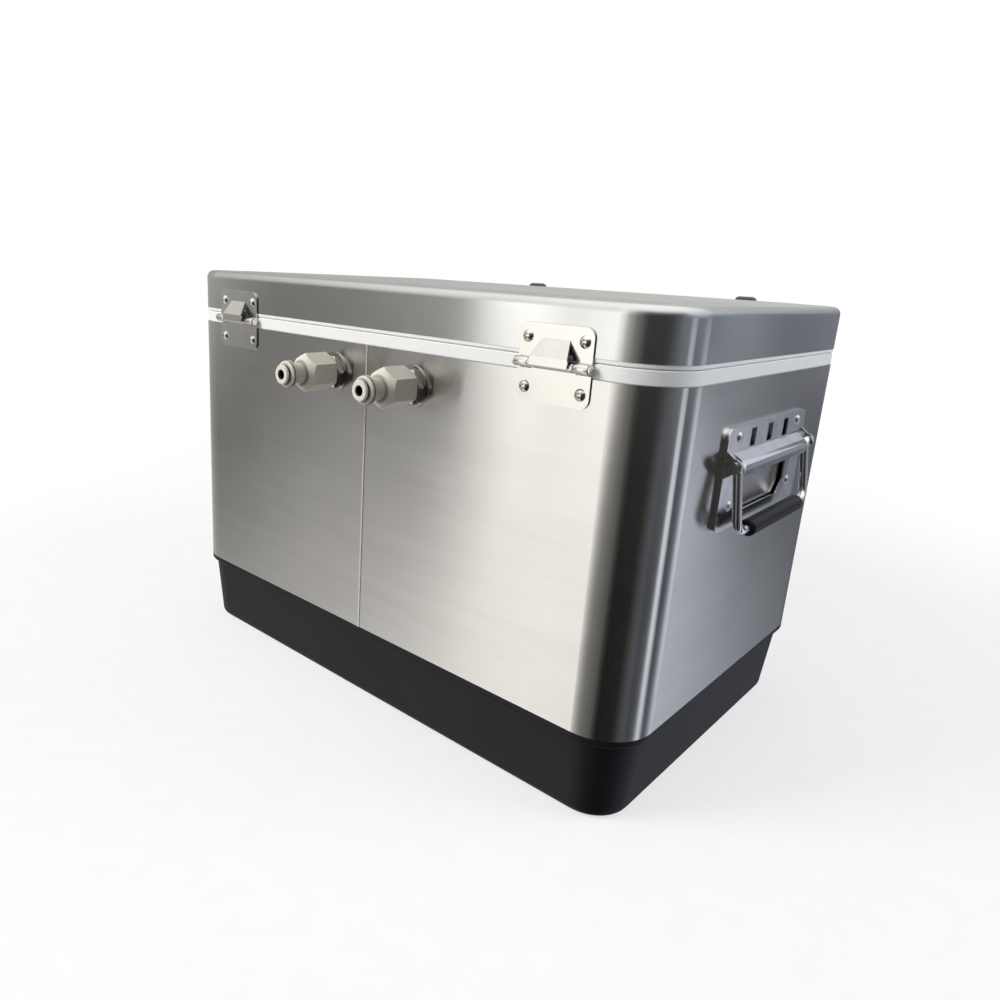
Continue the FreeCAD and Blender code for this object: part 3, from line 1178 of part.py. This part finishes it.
def make_drain():
    """Drain through the end wall near the floor, closed by a fluted screw cap."""
    inside = s.wall_depth
    face = -s.boss_inset
    end = s.drain_reach - s.boss_inset
    tube_body = turned("drain_spigot", [(s.drain_bore, -inside - s.drain_flange_height),
                                        (s.drain_flange, -inside - s.drain_flange_height),
                                        (s.drain_flange, -inside), (s.drain_radius, -inside),
                                        (s.drain_radius, end), (s.drain_bore, end)])
    place(node(tube_body), end_wall, 0, drain_z, AXES["+X"])
    nut = hex_nut("drain_nut", s.drain_nut_flats, s.drain_nut_height, s.drain_radius + s.running_gap)
    flat_up = AXES["+X"].multiply(FreeCAD.Rotation(Vector(0, 0, 1), 30))
    place(node(nut), end_wall + face, 0, drain_z, flat_up)
    top = end + s.gasket_height + s.thread_gap + s.cap_wall
    inner = s.drain_radius + s.thread_gap
    cup = turned("drain_cap_cup", [(inner, top - s.cap_height), (s.cap_radius, top - s.cap_height),
                                   (s.cap_radius, top - 1.5), (s.cap_radius - 1.5, top), (0, top),
                                   (0, top - s.cap_wall), (inner, top - s.cap_wall)])
    flutes = []
    for index in range(int(s.cap_flutes.number)):
        angle = 2 * math.pi * index / s.cap_flutes.number
        flutes.append(rod("drain_cap_flute", s.flute_radius, s.cap_height,
                          (s.cap_radius + 1) * math.cos(angle), (s.cap_radius + 1) * math.sin(angle),
                          top - s.cap_height - 1, "+Z"))
    place(node(cut("drain_cap", cup, flutes)), end_wall, 0, drain_z, AXES["+X"])
    gasket = turned("drain_gasket", [(0, end + s.thread_gap / 2), (s.drain_radius, end + s.thread_gap / 2),
                                     (s.drain_radius, end + s.thread_gap / 2 + s.gasket_height),
                                     (0, end + s.thread_gap / 2 + s.gasket_height)])
    place(node(gasket), end_wall, 0, drain_z, AXES["+X"])


# ---------------------------------------------------------------- build, check and write

def check(items):
    """Stop if any object failed or any sub-part is not a valid, closed shape."""
    for item in doc.Objects:
        if "Invalid" in item.State or "Error" in item.State:
            raise RuntimeError(f"{item.Label} failed: {item.State}")
    for item in items:
        shape = item.Shape
        if shape.isNull() or not shape.isValid() or not shape.Solids:
            raise RuntimeError(f"{item.Label} has no valid solid")


def write(items):
    os.makedirs("parts", exist_ok=True)
    for item in items:
        item.Shape.exportStep(f"parts/{item.Label}.step")
        print(f"{item.Label:24s} {len(item.Shape.Solids)} solids {item.Shape.Volume / 1000:10.2f} cm3")


make_base_tub()
make_steel_wrap()
make_inner_liner()
make_body_foam()
make_lid()
make_fasteners()
make_hinge("hinge_1", -1)
make_hinge("hinge_2", 1)
make_hinge_pins()
make_handle("handle_1", "left", -1)
make_handle("handle_2", "right", 1)
make_latch()
make_inlets()
make_coils_and_hoses()
make_taps()
make_drain()

doc.recompute()
check(NODES)
write(NODES)
print(len(NODES), "sub-parts")
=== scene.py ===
import json
import math

import bpy
from mathutils import Matrix, Vector

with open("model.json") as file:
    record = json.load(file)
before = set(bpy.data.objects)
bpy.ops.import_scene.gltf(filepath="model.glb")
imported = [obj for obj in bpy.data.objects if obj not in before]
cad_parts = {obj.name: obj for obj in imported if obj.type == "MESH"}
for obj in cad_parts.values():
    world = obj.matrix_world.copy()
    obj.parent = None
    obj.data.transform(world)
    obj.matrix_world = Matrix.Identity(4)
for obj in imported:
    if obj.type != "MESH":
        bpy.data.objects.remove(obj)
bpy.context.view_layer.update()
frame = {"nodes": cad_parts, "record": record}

scene = bpy.context.scene
nodes = frame["nodes"]

# ------------------------------------------------------------------ camera

# Fitted to the photograph: lens and sensor in mm, shift in widths of the picture, place and clip in m.
LENS = 27.93
SENSOR_WIDTH = 36.0
SHIFT = (0.0711, -0.0164)
CLIP = (0.01, 50)
CAMERA_PLACE = (-0.5452, 0.7192, 0.4530)
CAMERA_RIGHT = (-0.73633, -0.67448, 0.05378)
CAMERA_UP = (0.21900, -0.16236, 0.96212)
CAMERA_BACK = (-0.64020, 0.72022, 0.26726)


def make_camera():
    data = bpy.data.cameras.new("camera")
    camera = bpy.data.objects.new("camera", data)
    scene.collection.objects.link(camera)
    data.lens = LENS
    data.sensor_width = SENSOR_WIDTH
    data.shift_x, data.shift_y = SHIFT
    data.clip_start, data.clip_end = CLIP
    turn = Matrix((CAMERA_RIGHT, CAMERA_UP, CAMERA_BACK)).transposed()
    camera.matrix_world = Matrix.Translation(CAMERA_PLACE) @ turn.to_4x4()
    scene.camera = camera
    scene.view_settings.view_transform = "Standard"


# ------------------------------------------------------------------ shader helpers

class Graph:
    """Short calls for building a node tree."""

    def __init__(self, tree):
        self.tree = tree
        self.tree.nodes.clear()

    def node(self, kind, **settings):
        made = self.tree.nodes.new(kind)
        for name, value in settings.items():
            setattr(made, name, value)
        return made

    def link(self, source, target):
        self.tree.links.new(source, target)

    def feed(self, value, socket):
        """Link a socket or set a plain value."""
        if isinstance(value, bpy.types.NodeSocket):
            self.link(value, socket)
        else:
            socket.default_value = value

    def math(self, operation, first, second=0.0, third=0.0):
        made = self.node("ShaderNodeMath", operation=operation)
        for index, value in enumerate((first, second, third)):
            self.feed(value, made.inputs[index])
        return made.outputs[0]

    def axes(self, vector):
        """X, Y and Z of a vector."""
        made = self.node("ShaderNodeSeparateXYZ")
        self.link(vector, made.inputs[0])
        return made.outputs

    def ramp(self, factor, stops):
        """Colour or grey level by factor, from (place, level) pairs."""
        made = self.node("ShaderNodeValToRGB")
        points = made.color_ramp.elements
        while len(points) < len(stops):
            points.new(0.5)
        for point, (place, colour) in zip(points, stops):
            point.position = place
            if not isinstance(colour, (tuple, list)):
                colour = (colour, colour, colour)
            point.color = (*colour, 1.0)
        self.feed(factor, made.inputs[0])
        return made.outputs[0]

    def fade(self, factor, dark, light, start=0.3, end=0.7):
        """Dark below start, light above end."""
        return self.ramp(factor, ((start, dark), (end, light)))

    def mix(self, factor, first, second, blend="MIX"):
        made = self.node("ShaderNodeMix", data_type="RGBA", blend_type=blend)
        colour_sockets = made.inputs[6:8]
        self.feed(factor, made.inputs[0])
        for value, socket in zip((first, second), colour_sockets):
            if isinstance(value, (tuple, list)):
                value = (*value, 1.0)
            self.feed(value, socket)
        return made.outputs[2]

    def span(self, value, start, end):
        """0 below start, 1 above end."""
        made = self.node("ShaderNodeMapRange")
        self.feed(value, made.inputs["Value"])
        made.inputs["From Min"].default_value = start
        made.inputs["From Max"].default_value = end
        return made.outputs[0]

    def vary(self, centre, spread, by):
        """A value that swings about its centre with a noise, by half the spread at most."""
        low = self.math("SUBTRACT", centre, spread / 2)
        return self.math("MULTIPLY_ADD", by, spread, low)

    def noise(self, vector, scale, detail, roughness):
        made = self.node("ShaderNodeTexNoise")
        self.feed(vector, made.inputs["Vector"])
        made.inputs["Scale"].default_value = scale
        made.inputs["Detail"].default_value = detail
        made.inputs["Roughness"].default_value = roughness
        return made.outputs[0]

    def occlusion(self, reach):
        """1 in the open, near 0 deep in bores and crevices."""
        made = self.node("ShaderNodeAmbientOcclusion", samples=8)
        made.inputs["Distance"].default_value = reach
        return made.outputs["AO"]

    def place(self):
        return self.node("ShaderNodeTexCoord").outputs["Object"]

    def stretch(self, vector, scale):
        made = self.node("ShaderNodeMapping")
        self.feed(vector, made.inputs["Vector"])
        made.inputs["Scale"].default_value = scale
        return made.outputs[0]

    def bump(self, height, strength, distance, base=None):
        """A normal with relief. The base is the normal that it starts from, if not the surface's own."""
        made = self.node("ShaderNodeBump")
        made.inputs["Strength"].default_value = strength
        made.inputs["Distance"].default_value = distance
        self.feed(height, made.inputs["Height"])
        if base is not None:
            self.link(base, made.inputs["Normal"])
        return made.outputs[0]


def material(name):
    made = bpy.data.materials.new(name)
    made.use_nodes = True
    graph = Graph(made.node_tree)
    shader = graph.node("ShaderNodeBsdfPrincipled")
    output = graph.node("ShaderNodeOutputMaterial")
    graph.link(shader.outputs[0], output.inputs[0])
    return made, graph, shader


def set_shader(shader, **values):
    for name, value in values.items():
        shader.inputs[name.replace("_", " ")].default_value = value


def tinted(tint, factor):
    return tuple(min(c * factor, 1) for c in tint)


# ------------------------------------------------------------------ materials

# Part coordinates in m: the back sheet lies beyond this Y, and the lap's cut edge runs from X = 0.
BACK_WALL = 0.2035
SEAM_WIDTH = 0.0020
SEAM_MARGIN = 0.0001
# The cut edge's painted highlight: a near-white colour on its strip.
SEAM_HIGHLIGHT_COLOUR = (1.0, 0.99, 0.96)
SEAM_EXTRA_ROUGHNESS = 0.35

# The sheet's grain, as the scale of its noise along and across the brush strokes.
GRAIN_ALONG = 6
GRAIN_ACROSS = 2600
SHEET_ROUGHNESS = 0.19
# The part of a normal along Z or +Y above which a face counts as flat or as facing straight back.
FLAT_TOP = 0.7
FACES_BACK = 0.999


def brush_grain(g, place, flat):
    """Fine streaks that run level on walls, and along X where the sheet is flat."""
    on_walls = g.stretch(place, (GRAIN_ALONG, GRAIN_ALONG, GRAIN_ACROSS))
    on_tops = g.stretch(place, (GRAIN_ALONG, GRAIN_ACROSS, GRAIN_ALONG))
    walls = g.noise(on_walls, scale=1.0, detail=4, roughness=0.65)
    tops = g.noise(on_tops, scale=1.0, detail=4, roughness=0.65)
    return g.mix(flat, walls, tops)


def seam_highlight_mask(g, place):
    """1 on the narrow strip of the back where the lap's cut edge lies and a highlight is painted, else 0."""
    x, y, _ = g.axes(place)
    on_back = g.math("GREATER_THAN", y, BACK_WALL)
    near = g.math("COMPARE", x, SEAM_WIDTH / 2, SEAM_WIDTH / 2 + SEAM_MARGIN)
    return g.math("MULTIPLY", on_back, near)


def brushed_sheet(name, tint, seam=False):
    """Brushed stainless sheet: grain level round the walls and along X on flat tops.

    With a seam, the lap on the back is dressed flat and its cut edge at X = 0 gets a painted highlight, a
    near-white strip in the colour.
    """
    made, g, shader = material(name)
    normal = g.node("ShaderNodeNewGeometry").outputs["Normal"]
    _, to_back, upward = g.axes(normal)
    flat = g.math("GREATER_THAN", g.math("ABSOLUTE", upward), FLAT_TOP)
    place = g.place()
    grain = brush_grain(g, place, flat)
    broad = g.noise(g.stretch(place, (3, 3, 40)), scale=1.0, detail=3, roughness=0.6)
    cloud = g.noise(place, scale=7.0, detail=4, roughness=0.6)
    colour = g.fade(g.mix(0.5, broad, cloud), tinted(tint, 0.93), tinted(tint, 1.06))
    rough = g.vary(SHEET_ROUGHNESS, spread=0.05, by=grain)
    rough = g.vary(rough, spread=0.03, by=cloud)
    dressed = None
    if seam:
        highlight_strip = seam_highlight_mask(g, place)
        # Painted highlight: the strip along the lap's cut edge is coloured near white.
        colour = g.mix(highlight_strip, colour, SEAM_HIGHLIGHT_COLOUR)
        rough = g.math("MULTIPLY_ADD", highlight_strip, SEAM_EXTRA_ROUGHNESS, rough)
        facing = g.math("GREATER_THAN", to_back, FACES_BACK)
        dressed = g.mix(facing, normal, (0.0, 1.0, 0.0))
    g.link(colour, shader.inputs["Base Color"])
    g.link(rough, shader.inputs["Roughness"])
    relief = g.bump(grain, strength=0.03, distance=0.0002, base=dressed)
    g.link(relief, shader.inputs["Normal"])
    set_shader(shader, Metallic=1.0, Anisotropic=1.0)
    tangent = g.node("ShaderNodeCombineXYZ")
    g.link(flat, tangent.inputs["Y"])
    g.link(g.math("SUBTRACT", 1.0, flat), tangent.inputs["Z"])
    g.link(tangent.outputs[0], shader.inputs["Tangent"])
    return made


def metal(name, tint, roughness, wear=0.04, scale=60.0, relief=0.05):
    """Plated or turned metal with slight clouding, fine scratches and worn variation."""
    made, g, shader = material(name)
    place = g.place()
    cloud = g.noise(place, scale, detail=4, roughness=0.6)
    scratches = g.noise(g.stretch(place, (1, 1, 5)), scale * 12, detail=3, roughness=0.6)
    colour = g.fade(cloud, tinted(tint, 1 - 2 * wear), tint, end=0.65)
    g.link(colour, shader.inputs["Base Color"])
    g.link(g.vary(roughness, spread=0.12, by=cloud), shader.inputs["Roughness"])
    surface = g.bump(g.mix(0.5, cloud, scratches), strength=relief, distance=0.0003)
    g.link(surface, shader.inputs["Normal"])
    set_shader(shader, Metallic=1.0)
    return made


# Painted shade in bores and crevices: its darkest colour, and the colour where none is painted.
PAINTED_SHADE_COLOUR = (0.02, 0.015, 0.01)
NO_PAINTED_SHADE = (1.0, 1.0, 1.0)


def plastic(name, tint, roughness, grain, relief, coat=0.0, vary=0.08, ior=1.47, painted_shade_reach=0.0):
    """Moulded plastic: fine texture, slow colour change and uneven gloss.

    The last argument is how far, in m, crevices reach within which the colour is darkened as painted shade.
    """
    made, g, shader = material(name)
    place = g.place()
    cloud = g.noise(place, scale=12.0, detail=4, roughness=0.55)
    fine = g.noise(place, grain, detail=2, roughness=0.6)
    colour = g.fade(cloud, tinted(tint, 1 - vary), tinted(tint, 1 + vary))
    # Painted shade: the colour turns dark where the occlusion finds bores and crevices close by.
    if painted_shade_reach:
        unshaded = g.fade(g.occlusion(painted_shade_reach), PAINTED_SHADE_COLOUR, NO_PAINTED_SHADE, start=0.25, end=0.85)
        colour = g.mix(1.0, colour, unshaded, "MULTIPLY")
    g.link(colour, shader.inputs["Base Color"])
    g.link(g.vary(roughness, spread=0.16, by=fine), shader.inputs["Roughness"])
    g.link(g.bump(fine, strength=relief, distance=0.0004), shader.inputs["Normal"])
    set_shader(shader, IOR=ior, Coat_Weight=coat)
    return made


def hose_plastic(name, dark, light):
    """Clear soft hose, a little cloudy."""
    made, g, shader = material(name)
    cloud = g.noise(g.place(), scale=30.0, detail=3, roughness=0.5)
    g.link(g.fade(cloud, dark, light), shader.inputs["Base Color"])
    g.link(g.vary(0.17, spread=0.1, by=cloud), shader.inputs["Roughness"])
    set_shader(shader, IOR=1.45, Transmission_Weight=0.55)
    return made


# Which kind of finish each of the record's material slots gets.
FINISHES = {
    "jacket_steel": (brushed_sheet, dict(tint=(0.64, 0.63, 0.61), seam=True)),
    "lid_steel": (brushed_sheet, dict(tint=(0.64, 0.64, 0.63))),
    "base_plastic": (plastic, dict(tint=(0.009, 0.0095, 0.0115), roughness=0.46, grain=1400, relief=0.2,
                                   vary=0.15, ior=1.31)),
    "foam": (plastic, dict(tint=(0.86, 0.80, 0.62), roughness=0.8, grain=500, relief=0.6)),
    "liner_plastic": (plastic, dict(tint=(0.88, 0.88, 0.87), roughness=0.32, grain=300, relief=0.0,
                                    vary=0.02)),
    "hinge_nickel": (metal, dict(tint=(0.74, 0.73, 0.69), roughness=0.2)),
    "screw_steel": (metal, dict(tint=(0.80, 0.79, 0.77), roughness=0.24)),
    "handle_chrome": (metal, dict(tint=(0.86, 0.86, 0.87), roughness=0.18)),
    "grip_plastic": (plastic, dict(tint=(0.006, 0.006, 0.007), roughness=0.45, grain=800, relief=0.15,
                                   vary=0.2, ior=1.33)),
    "acetal": (plastic, dict(tint=(0.74, 0.70, 0.60), roughness=0.34, grain=500, relief=0.03,
                             vary=0.04, painted_shade_reach=0.02)),
    "collet_acetal": (plastic, dict(tint=(0.76, 0.72, 0.63), roughness=0.36, grain=500, relief=0.03,
                                    vary=0.04, painted_shade_reach=0.02)),
    "seal_rubber": (plastic, dict(tint=(0.02, 0.02, 0.02), roughness=0.6, grain=700, relief=0.2)),
    "fitting_steel": (metal, dict(tint=(0.60, 0.56, 0.51), roughness=0.12)),
    "coil_steel": (metal, dict(tint=(0.66, 0.66, 0.65), roughness=0.25)),
    "hose_vinyl": (hose_plastic, dict(dark=(0.62, 0.66, 0.66), light=(0.78, 0.82, 0.82))),
    "tap_chrome": (metal, dict(tint=(0.72, 0.72, 0.73), roughness=0.12, wear=0.02, scale=40, relief=0.02)),
    "tap_steel": (metal, dict(tint=(0.62, 0.62, 0.61), roughness=0.3)),
    "handle_plastic": (plastic, dict(tint=(0.012, 0.012, 0.012), roughness=0.18, grain=400, relief=0.03,
                                     coat=0.4, vary=0.2)),
    "drain_plastic": (plastic, dict(tint=(0.74, 0.74, 0.72), roughness=0.4, grain=600, relief=0.06,
                                    vary=0.04)),
}


def dress_nodes():
    """Give each CAD node the finish of its material slot."""
    finish = {slot: make(slot, **values) for slot, (make, values) in FINISHES.items()}
    slot_of = {part["node"]: part["material_slot"] for part in frame["record"]["subparts"]}
    for name, item in nodes.items():
        item.data.materials.clear()
        item.data.materials.append(finish[slot_of[name]])


STAMPED = [f"{kind}_{number}_{part}" for number in (1, 2)
           for kind, part in (("hinge", "lid_leaf"), ("handle", "bracket"))]
SOFTENED = STAMPED + ["inlet_outer_nuts", "latch_bracket", "latch_lever", "latch_keeper"]
EDGE_WIDTH = 0.0003
EDGE_ANGLE = math.radians(38)
WELD_GAP = 0.00001


def soften_edges():
    """Round the sharp edges of stamped and turned pieces a little, so that they catch the light."""
    for name in SOFTENED:
        item = nodes[name]
        weld = item.modifiers.new("weld", "WELD")
        weld.merge_threshold = WELD_GAP
        bevel = item.modifiers.new("bevel", "BEVEL")
        bevel.width = EDGE_WIDTH
        bevel.segments = 2
        bevel.limit_method = "ANGLE"
        bevel.angle_limit = EDGE_ANGLE


# ------------------------------------------------------------------ studio

# The studio's walls as the steel mirrors them: azimuth in degrees from +Y towards +X, and light level there.
# They are fitted to the bright and dark bands that the photograph's steel shows.
CORNER = (
    (-164, 0.13), (-162, 0.20), (-160, 0.27), (-158.6, 0.5), (-156.5, 0.95), (-146, 0.95), (-141, 0.32),
    (-131, 0.09), (-118, 0.07), (-116, 1.15), (-107, 1.15), (-104.5, 0.08), (-86, 0.07), (-80, 0.12),
    (-73, 0.11), (-66, 0.06), (-57, 0.016), (-23, 0.009), (-17, 0.045), (-11, 0.12), (8, 0.19), (17, 0.24))
LOW_WALLS = (
    (-180, 0.15), *CORNER, (25, 1.20), (36, 1.35), (40, 0.90), (44, 0.80), (49, 0.68), (54, 0.60),
    (58, 0.45), (120, 0.7), (180, 0.15))
HIGH_WALLS = (
    (-180, 0.15), *CORNER, (23, 1.27), (35.5, 1.52), (37.6, 0.60), (41, 0.28), (48, 0.35), (58, 0.11),
    (120, 0.6), (180, 0.15))
LID_WALLS = (
    (-180, 0.20), (-166, 0.32), (-163.5, 0.20), (-161, 0.20), (-159.5, 0.60), (-158, 0.14), (-153, 0.28),
    (-88, 0.28), (-80, 0.16), (-70, 0.06), (-60, 0.04), (-28, 0.04), (-16, 0.14), (-6, 0.22), (8, 0.70),
    (18, 1.55), (27, 1.85), (31, 1.45), (32.5, 1.0), (34, 1.9), (36, 2.1), (38.4, 1.7), (39.6, 0.32),
    (42, 0.32), (47, 0.21), (54, 0.22), (58, 0.55), (80, 0.45), (112, 0.5), (140, 0.55), (165, 0.5),
    (180, 0.20))
UPPER_WALLS = (
    (-180, 0.5), (-165, 0.9), (-110, 0.9), (-90, 0.2), (-75, 0.08), (-20, 0.08), (0, 0.6), (20, 1.2),
    (60, 0.8), (90, 0.45), (180, 0.5))

# Each band of walls takes over from the one below between two heights of the ray's direction.
BANDS = ((HIGH_WALLS, -0.40, -0.20), (LID_WALLS, -0.15, -0.09), (UPPER_WALLS, 0.12, 0.35))
CEILING_HEIGHTS = (0.45, 0.85)
CEILING_PLAIN = (0.30, 0.30, 0.30)
CEILING_MIRRORED = (1.4, 1.4, 1.4)
BACKGROUND = (1.0, 1.0, 1.0)
WARM = (1.0, 0.985, 0.95)
COOL = (0.88, 0.93, 1.06)
LAST_COOL_AZIMUTH = -70


def wall_stops(table):
    """The stops of a ramp that goes once round from azimuth -180 to 180."""
    made = []
    for azimuth, level in table:
        tint = WARM if azimuth > LAST_COOL_AZIMUTH else COOL
        made.append(((azimuth + 180) / 360, tuple(level * c for c in tint)))
    return made


def build_world():
    """Bright and dark studio walls that show in the metal, and a white background for the camera."""
    world = bpy.data.worlds.new("studio")
    scene.world = world
    world.use_nodes = True
    g = Graph(world.node_tree)
    x, y, height = g.axes(g.node("ShaderNodeTexCoord").outputs["Generated"])
    round_turn = g.math("MULTIPLY_ADD", g.math("ARCTAN2", x, y), 1 / (2 * math.pi), 0.5)
    walls = g.ramp(round_turn, wall_stops(LOW_WALLS))
    for table, start, end in BANDS:
        walls = g.mix(g.span(height, start, end), walls, g.ramp(round_turn, wall_stops(table)))
    path = g.node("ShaderNodeLightPath")
    ceiling = g.mix(path.outputs["Is Glossy Ray"], CEILING_PLAIN, CEILING_MIRRORED)
    room = g.mix(g.span(height, *CEILING_HEIGHTS), walls, ceiling)
    colour = g.mix(path.outputs["Is Camera Ray"], room, BACKGROUND)
    background = g.node("ShaderNodeBackground")
    g.link(colour, background.inputs["Color"])
    output = g.node("ShaderNodeOutputWorld")
    g.link(background.outputs[0], output.inputs[0])


# Name, place, side and power of each square lamp, and its colour. They all aim at the middle of the part.
WHITE_LIGHT = (1, 1, 1)
LAMPS = (
    ("key", (1.5, 2.4, 1.9), 1.3, 80, WHITE_LIGHT),
    ("side", (-2.3, -1.5, 1.2), 1.6, 46, (0.93, 0.97, 1.0)),
    ("top", (0.2, 0.3, 2.6), 2.0, 7, WHITE_LIGHT),
)
LAMP_AIM = (0, 0, 0.2)


def add_lamps():
    """Soft lamps that don't show in the metal, which mirrors the walls alone."""
    for name, spot, side, power, colour in LAMPS:
        data = bpy.data.lights.new(name, "AREA")
        data.shape = "SQUARE"
        data.size = side
        data.energy = power
        data.color = colour
        lamp = bpy.data.objects.new(name, data)
        scene.collection.objects.link(lamp)
        lamp.location = spot
        lamp.rotation_mode = "QUATERNION"
        lamp.rotation_quaternion = (Vector(LAMP_AIM) - Vector(spot)).to_track_quat("-Z", "Y")
        lamp.visible_glossy = False


FLOOR_REACH = 12.0
FLOOR_DROP = 0.0005
FLOOR_TONES = (0.29, 0.31)
# The floor's glow for the camera, under the part and added far off, and the distances between which it grows.
GLOW_NEAR = 0.66
GLOW_ADDED = 0.26
GLOW_DISTANCES = (0.7, 3.0)


def floor_material():
    """Matt pale floor that takes a shadow and glows towards white for the camera alone."""
    made = bpy.data.materials.new("floor")
    made.use_nodes = True
    g = Graph(made.node_tree)
    place = g.place()
    matt = g.node("ShaderNodeBsdfDiffuse")
    speck = g.noise(place, scale=40.0, detail=3, roughness=0.5)
    g.link(g.fade(speck, *FLOOR_TONES), matt.inputs["Color"])
    away = g.node("ShaderNodeVectorMath", operation="LENGTH")
    g.link(place, away.inputs[0])
    level = g.math("MULTIPLY_ADD", g.span(away.outputs["Value"], *GLOW_DISTANCES), GLOW_ADDED, GLOW_NEAR)
    for_camera = g.node("ShaderNodeLightPath").outputs["Is Camera Ray"]
    glow = g.node("ShaderNodeEmission")
    g.link(g.math("MULTIPLY", for_camera, level), glow.inputs["Strength"])
    total = g.node("ShaderNodeAddShader")
    g.link(matt.outputs[0], total.inputs[0])
    g.link(glow.outputs[0], total.inputs[1])
    output = g.node("ShaderNodeOutputMaterial")
    g.link(total.outputs[0], output.inputs[0])
    return made


def build_floor():
    """A pale floor that keeps the object's shadow and isn't mirrored in the metal."""
    mesh = bpy.data.meshes.new("floor")
    r = FLOOR_REACH
    mesh.from_pydata([(-r, -r, 0), (r, -r, 0), (r, r, 0), (-r, r, 0)], [], [(0, 1, 2, 3)])
    floor = bpy.data.objects.new("floor", mesh)
    scene.collection.objects.link(floor)
    floor.location.z = -FLOOR_DROP
    mesh.materials.append(floor_material())
    floor.visible_glossy = False


# ------------------------------------------------------------------ the scene

make_camera()
dress_nodes()
soften_edges()
build_world()
build_floor()
add_lamps()
